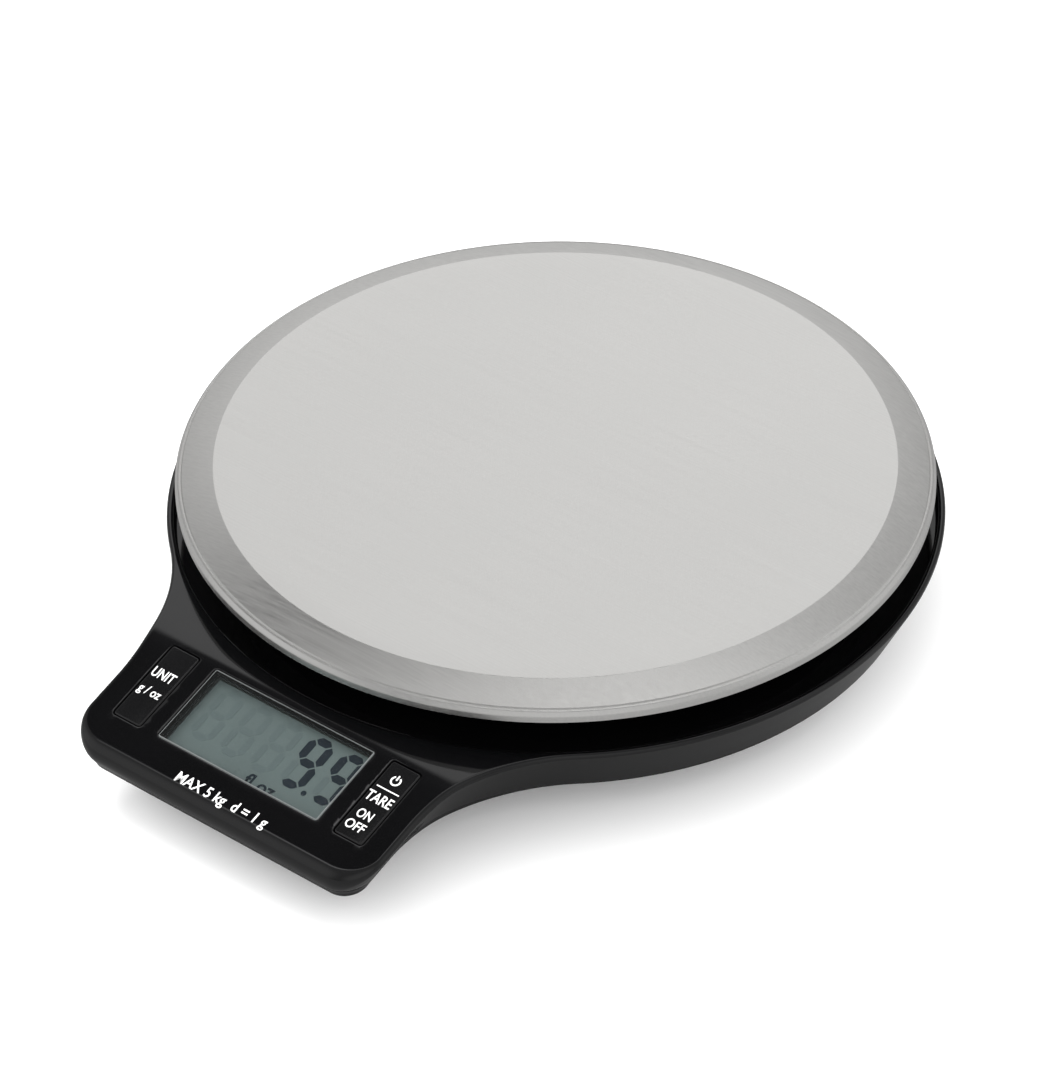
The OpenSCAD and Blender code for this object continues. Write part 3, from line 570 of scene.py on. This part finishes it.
def base_loops(seam_inset):
    """The lower shell: inside floor and wall, seam, outer wall, tray under the tongue, bowl, flat floor."""
    ones = np.ones(len(P))
    level = TRAY_Z + (SEAM_Z - 0.3 - TRAY_Z) * (1 - TONGUE)
    slope = (BODY_R - 6.1 - FLOOR_R) / (SEAM_Z - FLOOR_Z)

    def ring(inset, z):
        return np.column_stack([P - N2 * inset[:, None], z])

    def bowl(r, low):
        return low + 0.35 * np.logaddexp(0, (r - FLOOR_R) / slope / 0.35)

    def under(r, lift):
        a, b = bowl(r, FLOOR_Z + lift), level + min(lift, 1.4)
        return -0.2 * np.logaddexp(-a / 0.2, -b / 0.2)

    bend = np.maximum(np.minimum(1.1, (SEAM_Z - 0.27 - level) * 0.6), 0.015)
    z_low = level + bend
    inset_low = seam_inset + TUCK * (SEAM_Z - z_low)
    outer = [ring(seam_inset + SEAM_BREAK, SEAM_Z * ones),
             ring(seam_inset + SEAM_BREAK * TUCK, (SEAM_Z - SEAM_BREAK) * ones),
             ring(inset_low, z_low)]
    for k in range(1, 6):
        b = math.pi / 2 * k / 5
        outer.append(ring(inset_low + bend * (1 - math.cos(b)), z_low - bend * math.sin(b)))
    # Close together where the tray ends and where the bowl meets the flat floor
    radii = [84.0, 83.5, 83.0, 82.5, 82.0, 81.5, 80, 78, 76, 74.5, 74, 73.5, 73, 72.5, 72, 71.2, 70.5]
    start = outer[-1]
    for t in (0.25, 0.5, 0.75):
        p = start[:, :2] + (RADIAL * radii[0] - start[:, :2]) * t
        outer.append(np.column_stack([p, under(np.hypot(p[:, 0], p[:, 1]), 0.0)]))
    for r in radii:
        outer.append(np.column_stack([RADIAL * r, under(r * ones, 0.0)]))
    inset_in = seam_inset + WALL
    edge = ring(inset_in, SEAM_Z * ones)
    foot_z = under(np.hypot(edge[:, 0], edge[:, 1]) - 0.5, 2.0)
    foot = ring(inset_in + 0.5, np.minimum(foot_z, SEAM_Z - 0.3))
    inner = [edge, foot]
    for t in (0.3, 0.6):
        p = foot[:, :2] + (RADIAL * 82.0 - foot[:, :2]) * t
        z = under(np.hypot(p[:, 0], p[:, 1]), 2.0)
        inner.append(np.column_stack([p, np.minimum(z, SEAM_Z - 0.35)]))
    for r in radii[4:]:
        z = under((r - 0.6) * ones, 2.0)
        inner.append(np.column_stack([RADIAL * (r - 0.6), np.minimum(z, SEAM_Z - 0.4)]))
    return inner[::-1] + outer


loops, SEAM_INSET = housing_loops()
top_shell = raw_object("housing_top_shell", *facing_out(*loft(loops)), M["housing_gloss"])

LENS_W, LENS_L, LENS_T, LENS_SUNK, LENS_LIP = 47.4, 22.0, 1.3, 0.15, 0.8
BUTTON_W, BUTTON_L, BUTTON_GAP = 8.1, 22.2, 0.2


def box_loops(w, l, r, y, levels, close=False):
    """A rounded rectangle standing upright; levels are (height, growth of the outline)."""
    loops = []
    for z, grow in levels:
        loops.append([(u, y + v, z) for u, v in rounded_rect(w + 2 * grow, l + 2 * grow, r + grow)])
    return loft(loops, close=close)


COLUMN_Y, HOLE_W, HOLE_L, SPILL, SPILL_H = -26.0, 20.0, 27.0, 1.6, 3.0
# How far the cutters reach below and above the panel
CUT_LOW, CUT_HIGH = -9, 6
LENS_SEAT = -LENS_T - LENS_SUNK
window_levels = [(CUT_LOW, -LENS_LIP), (LENS_SEAT, -LENS_LIP), (LENS_SEAT, 0), (-0.22, 0), (-0.06, 0.1),
                 (0.0, 0.3), (CUT_HIGH, 0.3)]
key_levels = [(CUT_LOW, BUTTON_GAP), (-0.32, BUTTON_GAP), (-0.08, BUTTON_GAP + 0.12),
              (0.0, BUTTON_GAP + 0.34), (CUT_HIGH, BUTTON_GAP + 0.34)]
openings = [
    panel_prism(LENS_W, LENS_L, 1.0, window_levels),
    box_loops(HOLE_W, HOLE_L, 1.5, COLUMN_Y, [(ROOF_Z - 5, 0), (DECK_Z + 5, 0)]),
]
openings += [panel_prism(BUTTON_W, BUTTON_L, 0.7, key_levels, u0=hand * BUTTON_X) for hand in (-1, 1)]
cut(top_shell, *join_parts([facing_out(*o) for o in openings]))
finish_piece(top_shell, "housing", ["top_housing"], 28)

# Spill collar round the hole that the platform's column passes through
collar_top = DECK_Z + SPILL_H
collar_levels = [(ROOF_Z, 0), (collar_top - 0.3, 0), (collar_top, 0.3), (collar_top, SPILL - 0.3),
                 (collar_top - 0.3, SPILL), (DECK_Z + 0.3, SPILL), (DECK_Z - 0.01, SPILL + 0.3),
                 (ROOF_Z, SPILL)]
add_piece("spill_collar", *box_loops(HOLE_W, HOLE_L, 1.5, COLUMN_Y, collar_levels, close=True),
          M["housing_gloss"], "housing", slot="housing_gloss")


# ---------------------------------------------------------------- lower shell
base_shell = raw_object("housing_base_shell", *facing_out(*loft(base_loops(SEAM_INSET))), M["housing_gloss"])


def polar(r, degrees):
    a = math.radians(degrees)
    return r * math.cos(a), r * math.sin(a)


FOOT_RING, FOOT_R = 64.0, 7.5
FEET = {
    "foot_rear_right": polar(FOOT_RING, 45), "foot_rear_left": polar(FOOT_RING, 135),
    "foot_front_left": polar(FOOT_RING, 225), "foot_front_right": polar(FOOT_RING, 315),
}
SCREW_RING, SCREW_HOLE_R = 67, 3.1
BODY_SCREWS = [polar(SCREW_RING, a) for a in (15, 165, 195, 345)]
TONGUE_SCREWS = [(-34.0, -88.0), (34.0, -88.0)]
# Each hole from below is a profile of (r, z) whose mouth is eased where it meets the shell
foot_seat = [(0, -1), (FOOT_R + 0.5, -1), (FOOT_R + 0.5, FLOOR_Z - 0.01), (FOOT_R, FLOOR_Z + 0.4),
             (FOOT_R, 3.0), (0, 3.0)]
body_hole = [(0, -1), (3.5, -1), (3.5, FLOOR_Z), (SCREW_HOLE_R, FLOOR_Z + 0.4), (SCREW_HOLE_R, 7), (0, 7)]
tongue_hole = [(0, 5), (3.4, 5), (3.4, TRAY_Z), (SCREW_HOLE_R, TRAY_Z + 0.3), (SCREW_HOLE_R, 11.5), (0, 11.5)]
bolt_hole = [(0, -1), (4.4, -1), (4.4, FLOOR_Z), (4.2, FLOOR_Z + 0.2), (4.2, 2.6), (2.2, 2.6),
             (2.2, 6), (0, 6)]
cutters = [lathe(foot_seat, 48, x, y) for x, y in FEET.values()]
cutters += [lathe(body_hole, 32, x, y) for x, y in BODY_SCREWS]
cutters += [lathe(tongue_hole, 32, x, y) for x, y in TONGUE_SCREWS]
cutters += [lathe(bolt_hole, 32, 0, y) for y in (20.0, 32.0)]
DOOR_FRONT, DOOR_REACH = 41.2, 24.9
OPEN_W, OPEN_L = 54.6, DOOR_REACH + 1.35
OPEN_MID = DOOR_FRONT - 1.05 + OPEN_L / 2
door_levels = [(-1, 0.25), (FLOOR_Z, 0.25), (FLOOR_Z + 0.25, 0), (6, 0)]
cutters.append(box_loops(OPEN_W, OPEN_L, 0.3, OPEN_MID, door_levels))
cut(base_shell, *join_parts([facing_out(*c) for c in cutters]))
# Finger notch behind the door
cut(base_shell, *facing_out(*cross_rod(DOOR_FRONT + DOOR_REACH + 0.5, FLOOR_Z - 1.5, 3, 5, 10)))
finish_piece(base_shell, "housing", ["bottom_housing"], 28)

# Posts round the housing screws, hollow from below
POST_R, PILOT_R = 4.2, 1.65
posts = []
screws = [(p, 8.0, 3.2) for p in BODY_SCREWS] + [(p, TRAY_Z + 1.2, TRAY_Z + 0.6) for p in TONGUE_SCREWS]
for (x, y), seat, low in screws:
    profile = [(POST_R, low), (POST_R, SEAM_Z - 0.3), (POST_R - 0.3, SEAM_Z), (PILOT_R, SEAM_Z),
               (PILOT_R, seat), (SCREW_HOLE_R, seat), (SCREW_HOLE_R, low)]
    posts.append(facing_out(*loft([circle(r, z, 32, x, y) for r, z in profile], close=True)))
add_piece("screw_posts", *join_parts(posts), M["base_plastic"], "housing", slot="base_plastic")

# Battery bay: a lidless box standing on a plinth over the door's opening
BAY_L, BAY_W, BAY_MID, BAY_TOP, LEDGE_Z = 51.0, 22.6, 42.2 + 11.3, 15.5, 4.0
bay = []
for longer, wider, z, shift in ((0, 0, BAY_TOP, 0), (0, 0, LEDGE_Z + 0.3, 0), (0.6, 0.6, LEDGE_Z, 0),
                                (6, 5.6, LEDGE_Z, -0.2), (6, 5.6, 5.8, -0.2), (5.6, 5.2, 6.0, -0.2),
                                (3, 3, 6.0, 0), (3, 3, BAY_TOP + 1.2, 0), (2.4, 2.4, BAY_TOP + 1.5, 0)):
    outline = rounded_rect(BAY_L + longer, BAY_W + wider, 0.8)
    bay.append([(u, BAY_MID + shift + v, z) for u, v in outline])
bay_piece = add_piece("battery_bay", *loft(bay), M["base_plastic"], "housing", slot="base_plastic")
# Slot for the door's latch, then the bore for its pins
latch_slot = box_loops(11, 3.0, 0.1, DOOR_FRONT + DOOR_REACH - 0.3, [(-1, 0), (10.1, 0)])
for hole in (latch_slot, cross_rod(DOOR_FRONT, 3.0, 1.2, 29.5, 12)):
    cut(bay_piece, *facing_out(*hole))
    shade(bay_piece, 30)

# ---------------------------------------------------------------- feet
pad_r = FOOT_R - 0.1
pad = fillet([(0, 0.5), (3.2, 0.5), (3.6, 0.0), (4.6, 0.0), (4.8, 0.3), (5.3, 0.3), (5.5, 0.0),
              (pad_r - 0.3, 0.0), (pad_r, 0.9), (pad_r, 3.0), (0, 3.0)],
             [0, 0.1, 0.2, 0.2, 0.1, 0.1, 0.2, 0.5, 0.2, 0.1, 0], 4)
for name, (x, y) in FEET.items():
    add_piece(name + "_pad", *lathe(pad, 64, x, y), M["foot_rubber"], "housing", [name], "foot_rubber", 40)

# ---------------------------------------------------------------- platter
SHEET = 0.6
FLAT_R, ROLL, DROP, LIP = 80.8, 0.7, 2.6, 2.6
top = OVERALL_H
crease_r, crease_z, lip_z = PLATTER_R - ROLL, top - DROP, top - DROP - LIP
CONE = DROP / (crease_r - FLAT_R)
GROOVE_R, GROOVE_W, GROOVE_T = crease_r - 0.75, 0.5, 0.2


def cone_z(r):
    return top - (r - FLAT_R) * CONE


groove_in, groove_low, groove_out = GROOVE_R - GROOVE_W / 2, GROOVE_R + 0.1, GROOVE_R + GROOVE_W / 2
outer = fillet([(0, top), (FLAT_R - 6, top), (FLAT_R, top), (groove_in, cone_z(groove_in)),
                (groove_low, cone_z(groove_low) - GROOVE_T), (groove_out, cone_z(groove_out)),
                (crease_r, crease_z), (PLATTER_R, crease_z - 1.0), (PLATTER_R, lip_z)],
               [0, 0, 0.8, 0.12, 0.1, 0.08, 0.4, 0.9, 0], 5)
under = fillet([(PLATTER_R - SHEET, lip_z), (crease_r - SHEET, crease_z - SHEET), (FLAT_R - 0.2, top - SHEET),
                (0, top - SHEET)], [0, 0.4, 1.0, 0], 5)
hem = [(PLATTER_R - 0.12, lip_z), (PLATTER_R - SHEET + 0.1, lip_z)]
dish = lathe([(max(r, 0.001), z) for r, z in outer + hem + under])
add_piece("platter_dish", *dish, M["platter_steel"], "platform", ["platter"], "platter_steel", 35)

# ---------------------------------------------------------------- window
lens_levels = [(LENS_SEAT, 0), (-LENS_SUNK - 0.4, 0), (-LENS_SUNK - 0.08, -0.22), (-LENS_SUNK, -0.42)]
display_lens = add_piece("display_lens", *panel_prism(LENS_W - 0.1, LENS_L - 0.1, 0.65, lens_levels),
                         M["clear_lens"], "housing", ["window_lens"], "clear_lens", 25)
# Its slanted and side faces get a paler opaque colour: a painted highlight along the lens's bevel
PANEL_NORMAL = Vector((0, -math.sin(SLOPE), math.cos(SLOPE)))
display_lens.data.materials.append(M["lens_edge_highlight"])
for face in display_lens.data.polygons:
    if 0.05 < abs(face.normal @ PANEL_NORMAL) < 0.98:
        face.material_index = 1

# ---------------------------------------------------------------- keys
FLANGE, FLANGE_T, CAP_T, KEY_EDGE = 0.6, 0.7, 2.4, 0.42
for side, body, name in ((-1, "unit_key", "unit_button"), (1, "tare_key", "tare_button")):
    low = -CAP_T - FLANGE_T
    levels = [(low, FLANGE - 0.1), (low + 0.1, FLANGE), (-CAP_T - 0.1, FLANGE), (-CAP_T, FLANGE - 0.1),
              (-CAP_T, 0.05), (-CAP_T + 0.05, 0)]
    for k in range(7):
        a = math.pi / 2 * k / 6
        levels.append((KEY_EDGE * (math.sin(a) - 1), -KEY_EDGE * (1 - math.cos(a))))
    v, f = panel_prism(BUTTON_W, BUTTON_L, 0.75, levels, u0=side * BUTTON_X)
    add_piece(name + "_cap", v, f, M["button_plastic"], body, [name], "button_plastic", 35)


# ---------------------------------------------------------------- lettering
# Height of the ink's underside above the panel, and its thickness
INK_LIFT, INK_T = 0.01, 0.03


def glyphs(body, height, centre, width, bold=0.0, w=INK_LIFT):
    """Plain lettering lying on the panel, capital height and overall width in millimetres."""
    curve = bpy.data.curves.new("text", "FONT")
    curve.body = body
    curve.size = 1.0
    curve.offset = bold
    curve.resolution_u = 4
    obj = bpy.data.objects.new("text", curve)
    bpy.context.scene.collection.objects.link(obj)
    bpy.context.view_layer.update()
    flat = bpy.data.meshes.new_from_object(obj.evaluated_get(bpy.context.evaluated_depsgraph_get()))
    co = np.array([p.co[:] for p in flat.vertices])
    faces = [tuple(p.vertices) for p in flat.polygons]
    bpy.data.objects.remove(obj)
    bpy.data.curves.remove(curve)
    bpy.data.meshes.remove(flat)
    # Capital height of the built-in typeface at size 1
    cap = 0.729
    lo, hi = co[:, 0].min(), co[:, 0].max()
    u = centre[0] + (co[:, 0] - (lo + hi) / 2) * (width / (hi - lo))
    v = centre[1] + (co[:, 1] - cap / 2) * (height / cap)
    return raised(np.column_stack([u, v]), faces, w)


def raised(uv, faces, w):
    """A flat shape given a small thickness along the panel's normal."""
    n = len(uv)
    low = panel_points(np.column_stack([uv, np.full(n, w)]))
    high = panel_points(np.column_stack([uv, np.full(n, w + INK_T)]))
    edges = {}
    out = []
    for f in faces:
        turn = sum(uv[f[i - 1]][0] * uv[f[i]][1] - uv[f[i]][0] * uv[f[i - 1]][1] for i in range(len(f)))
        f = f if turn > 0 else tuple(reversed(f))
        out.append(tuple(i + n for i in f))
        out.append(tuple(reversed(f)))
        edges.update(dict.fromkeys((f[i - 1], f[i]) for i in range(len(f))))
    for a, b in edges:
        if (b, a) not in edges:
            out.append((a, b, b + n, a + n))
    return np.concatenate([low, high]), out


def bar(u0, v0, u1, v1):
    uv = np.array([(u0, v0), (u1, v0), (u1, v1), (u0, v1)], float)
    return raised(uv, [(0, 1, 2, 3)], INK_LIFT)


def ring_arc(cu, cv, r, width, a0, a1, w=INK_LIFT, steps=28):
    uv, faces = [], []
    for k in range(steps + 1):
        a = math.radians(a0 + (a1 - a0) * k / steps)
        for rr in (r - width / 2, r + width / 2):
            uv.append((cu + rr * math.cos(a), cv + rr * math.sin(a)))
    for k in range(steps):
        faces.append((2 * k, 2 * k + 1, 2 * k + 3, 2 * k + 2))
    return raised(np.array(uv), faces, w)


KEY_TEXT, KEY_SMALL_TEXT, PANEL_TEXT = 2.8, 2.5, 2.9
BOLD, LIGHT = 0.012, 0.01
unit_marks = join_parts([
    glyphs("UNIT", KEY_TEXT, (-BUTTON_X - 0.4, 3.2), 6.3, BOLD),
    glyphs("g / oz", KEY_SMALL_TEXT, (-BUTTON_X - 0.3, -1.9), 6.3, LIGHT),
])
add_piece("unit_legend", *unit_marks, M["legend_ink"], "unit_key", slot="button_plastic")
tare_marks = join_parts([
    ring_arc(BUTTON_X, 6.75, 1.15, 0.42, 125, 415),
    bar(BUTTON_X - 0.2, 6.9, BUTTON_X + 0.2, 8.3),
    bar(BUTTON_X - 3.15, 3.65, BUTTON_X + 3.15, 3.95),
    glyphs("TARE", KEY_TEXT, (BUTTON_X - 0.2, 1.05), 7.1, BOLD),
    glyphs("ON", KEY_SMALL_TEXT, (BUTTON_X - 0.4, -3.95), 4.1, LIGHT),
    glyphs("OFF", KEY_SMALL_TEXT, (BUTTON_X - 0.5, -7.4), 5.2, LIGHT),
])
add_piece("tare_legend", *tare_marks, M["legend_ink"], "tare_key", slot="button_plastic")
add_piece("panel_legend", *glyphs("MAX 5 kg  d = 1 g", PANEL_TEXT, (1.2, -17.2), 26.5, BOLD),
          M["legend_ink"], "housing", slot="housing_gloss")

# ---------------------------------------------------------------- display
LCD_W = -3.2
# Each bar of a seven-segment figure, from one corner of its frame to another
SEGMENTS = {"a": (0, 1, 1, 1), "b": (1, 1, 1, .5), "c": (1, .5, 1, 0), "d": (0, 0, 1, 0), "e": (0, .5, 0, 0),
            "f": (0, 1, 0, .5), "g": (0, .5, 1, .5)}
FIGURE_V, BAR_GAP = -5.6, 0.28
# Width, height and bar width of the lit and the unlit figures
LIT, UNLIT = (7.0, 15.0, 2.1), (6.7, 14.9, 1.75)


def digit(bars, u0, size):
    """Seven-segment figure with pointed bar ends; u0 is its left edge."""
    width, height, bar_w = size
    parts = []
    iw, ih = width - bar_w, height - bar_w
    for s in bars:
        ax, ay, bx, by = SEGMENTS[s]
        a = np.array([u0 + bar_w / 2 + ax * iw, FIGURE_V + bar_w / 2 + ay * ih])
        b = np.array([u0 + bar_w / 2 + bx * iw, FIGURE_V + bar_w / 2 + by * ih])
        along = (b - a) / np.linalg.norm(b - a)
        across = np.array([-along[1], along[0]]) * bar_w / 2
        point = along * bar_w * 0.5
        a2, b2 = a + along * BAR_GAP, b - along * BAR_GAP
        uv = np.array([a2, a2 + point - across, b2 - point - across,
                       b2, b2 - point + across, a2 + point + across])
        parts.append(raised(uv, [tuple(range(6))], LCD_W + INK_LIFT))
    return parts


nine = "abcdfg"
figures = digit(nine, 6.4, LIT) + digit(nine, 15.6, LIT)
figures += [ring_arc(14.4, -5.0, 0.36, 0.7, 0, 360, LCD_W + INK_LIFT, 16)]
figures += [glyphs("fl oz", 3.6, (4.3, -8.3), 8.6, 0.02, LCD_W + INK_LIFT)]
add_piece("display_figures", *join_parts(figures), M["lcd_segment"], "housing", slot="lcd_face")
ghosts = []
for u0 in (-20.2, -11.3, -2.4):
    ghosts += digit("abcdefg", u0, UNLIT)
ghosts += digit("e", 6.5, UNLIT) + digit("e", 15.7, UNLIT)
ghosts += [glyphs("lb : oz   ml", 2.2, (-11.5, -8.9), 17, 0.0, LCD_W + INK_LIFT)]
add_piece("display_unlit_figures", *join_parts(ghosts), M["lcd_ghost"], "housing", slot="lcd_face")

# ---------------------------------------------------------------- camera
# Fitted to the photograph's view; the shifts are metres along the picture's width and height
azimuth, elevation, roll = math.radians(38.894), math.radians(39.318), math.radians(-1.037)
CAMERA_DISTANCE, SHIFT_SIDE, SHIFT_TALL = 1.182592, 0.008446, 0.018273
flat = math.cos(elevation)
back = Vector((math.sin(azimuth) * flat, -math.cos(azimuth) * flat, math.sin(elevation)))
level = Vector((math.cos(azimuth), math.sin(azimuth), 0))
upward = back.cross(level)
side = level * math.cos(roll) + upward * math.sin(roll)
tall = upward * math.cos(roll) - level * math.sin(roll)
place = back * CAMERA_DISTANCE - side * SHIFT_SIDE - tall * SHIFT_TALL + Vector((0, AXIS_Y, CREASE_Z))
lens = bpy.data.cameras.new("camera")
lens.lens = 166.67
lens.sensor_width = 36
lens.clip_start = 0.05
camera = bpy.data.objects.new("camera", lens)
camera.matrix_world = Matrix.Translation(place) @ Matrix((side, tall, back)).transposed().to_4x4()
bpy.context.scene.collection.objects.link(camera)
bpy.context.scene.camera = camera

# ---------------------------------------------------------------- studio
floor_mesh = bpy.data.meshes.new("floor")
floor_mesh.from_pydata([(-4, -4, 0), (4, -4, 0), (4, 4, 0), (-4, 4, 0)], [], [(0, 1, 2, 3)])
floor = bpy.data.objects.new("floor", floor_mesh)
bpy.context.scene.collection.objects.link(floor)
floor.location.z = -0.0002
paper = bpy.data.materials.new("floor_paper")
paper.use_nodes = True
pt = paper.node_tree
pt.nodes.clear()
p_out = pt.nodes.new("ShaderNodeOutputMaterial")
p_mix = pt.nodes.new("ShaderNodeMixShader")
p_path = pt.nodes.new("ShaderNodeLightPath")
p_dim = pt.nodes.new("ShaderNodeBsdfDiffuse")
p_dim.inputs["Color"].default_value = (0.25, 0.25, 0.25, 1)
p_lit = pt.nodes.new("ShaderNodeBsdfPrincipled")
p_lit.inputs["Base Color"].default_value = (0.9, 0.9, 0.9, 1)
p_lit.inputs["Roughness"].default_value = 0.9
p_lit.inputs["Specular IOR Level"].default_value = 0.0
p_lit.inputs["Emission Color"].default_value = (1, 1, 1, 1)
p_lit.inputs["Emission Strength"].default_value = 0.1
pt.links.new(p_path.outputs["Is Camera Ray"], p_mix.inputs["Fac"])
pt.links.new(p_dim.outputs[0], p_mix.inputs[1])
pt.links.new(p_lit.outputs[0], p_mix.inputs[2])
pt.links.new(p_mix.outputs[0], p_out.inputs["Surface"])
floor_mesh.materials.append(paper)


def area(name, direction, distance, size, power, glossy=True):
    data = bpy.data.lights.new(name, "AREA")
    data.shape = "DISK"
    data.size = size
    data.energy = power
    obj = bpy.data.objects.new(name, data)
    d = Vector(direction).normalized()
    obj.location = Vector((0, AXIS_Y, 0)) + d * distance
    obj.rotation_euler = (-d).to_track_quat("-Z", "Y").to_euler()
    obj.visible_glossy = glossy
    obj.visible_camera = False
    bpy.context.scene.collection.objects.link(obj)
    return obj


def direction(az_deg, el_deg):
    """Azimuth counterclockwise from +X, elevation from the floor."""
    a, e = math.radians(az_deg), math.radians(el_deg)
    return (math.cos(a) * math.cos(e), math.sin(a) * math.cos(e), math.sin(e))


area("key", direction(165, 62), 2.0, 1.2, 17, glossy=False)

world = bpy.data.worlds.new("studio")
bpy.context.scene.world = world
world.use_nodes = True
wt = world.node_tree
wt.nodes.clear()
w_out = wt.nodes.new("ShaderNodeOutputWorld")
w_bg = wt.nodes.new("ShaderNodeBackground")
w_cam = wt.nodes.new("ShaderNodeBackground")
w_mix = wt.nodes.new("ShaderNodeMixShader")
w_path = wt.nodes.new("ShaderNodeLightPath")
w_cam.inputs["Color"].default_value = (1, 1, 1, 1)
wt.links.new(w_path.outputs["Is Camera Ray"], w_mix.inputs["Fac"])
wt.links.new(w_bg.outputs[0], w_mix.inputs[1])
wt.links.new(w_cam.outputs[0], w_mix.inputs[2])
wt.links.new(w_mix.outputs[0], w_out.inputs["Surface"])
w_coord = wt.nodes.new("ShaderNodeTexCoord")


def wmath(op, a, b=None):
    n = wt.nodes.new("ShaderNodeMath")
    n.operation = op
    for i, value in enumerate((a, b)):
        if value is None:
            continue
        if isinstance(value, (int, float)):
            n.inputs[i].default_value = value
        else:
            wt.links.new(value, n.inputs[i])
    return n.outputs[0]


def along(axis):
    """Cosine of the angle between the world direction and an axis."""
    dot = wt.nodes.new("ShaderNodeVectorMath")
    dot.operation = "DOT_PRODUCT"
    dot.inputs[1].default_value = axis
    wt.links.new(w_coord.outputs["Generated"], dot.inputs[0])
    return dot.outputs["Value"]


def ease(value, low, high):
    r = wt.nodes.new("ShaderNodeMapRange")
    r.interpolation_type = "SMOOTHSTEP"
    r.inputs["From Min"].default_value = low
    r.inputs["From Max"].default_value = high
    wt.links.new(value, r.inputs["Value"])
    return r.outputs[0]


def soft_spot(centre, full, none):
    """1 inside `full` degrees of a direction, easing to 0 at `none` degrees."""
    return ease(along(centre), math.cos(math.radians(none)), math.cos(math.radians(full)))


def soft_side(axis, full, none):
    """0 within `full` degrees of the plane across an axis, easing to 1 at `none` degrees."""
    return ease(wmath("ABSOLUTE", along(axis)), math.sin(math.radians(full)), math.sin(math.radians(none)))


def box(az_deg, el_deg, full, none, strength):
    return wmath("MULTIPLY", soft_spot(direction(az_deg, el_deg), full, none), strength)


# What the glossy surfaces mirror: soft boxes, a narrow strip and a dark flag over a plain ground
BASE_GLOW, FILL_GLOW = 0.345, 1.85
box_back = box(130, 38, 14, 30, 0.66)
box_low = box(128, 6, 10, 28, 0.20)
box_front = box(312, 22, 10, 45, 0.35)
box_sides = wmath("ADD", soft_spot(direction(35, 22), 10, 48), soft_spot(direction(222, 18), 10, 40))
box_sides = wmath("MULTIPLY", box_sides, 0.35)
box_top = box(128, 77, 9, 21, 0.10)
flag = wmath("SUBTRACT", 1.0, box(157, 58.5, 10, 17, 0.9))
band = wmath("SUBTRACT", 1.0, soft_side(direction(128, -13), 2.0, 4.0))
strip = wmath("MULTIPLY", wmath("MULTIPLY", band, soft_spot(direction(128, 77), 22, 36)), 1.7)
boxes = wmath("ADD", box_back, wmath("ADD", box_low, wmath("ADD", box_front, box_sides)))
ground = wmath("ADD", wmath("ADD", box_top, strip), BASE_GLOW)
soft = wmath("MULTIPLY", wmath("ADD", boxes, ground), flag)
wt.links.new(soft, w_bg.inputs["Strength"])
w_bg.inputs["Color"].default_value = (1, 1, 1, 1)
w_fill = wt.nodes.new("ShaderNodeBackground")
w_fill.inputs["Color"].default_value = (1, 1, 1, 1)
w_fill.inputs["Strength"].default_value = FILL_GLOW
w_spread = wt.nodes.new("ShaderNodeMixShader")
wt.links.new(w_path.outputs["Is Diffuse Ray"], w_spread.inputs["Fac"])
wt.links.new(w_bg.outputs[0], w_spread.inputs[1])
wt.links.new(w_fill.outputs[0], w_spread.inputs[2])
wt.links.new(w_spread.outputs[0], w_mix.inputs[1])

scene = bpy.context.scene
scene.view_settings.view_transform = "Standard"
scene.view_settings.look = "None"
scene.view_settings.exposure = 0
scene.view_settings.gamma = 1

bpy.context.view_layer.update()
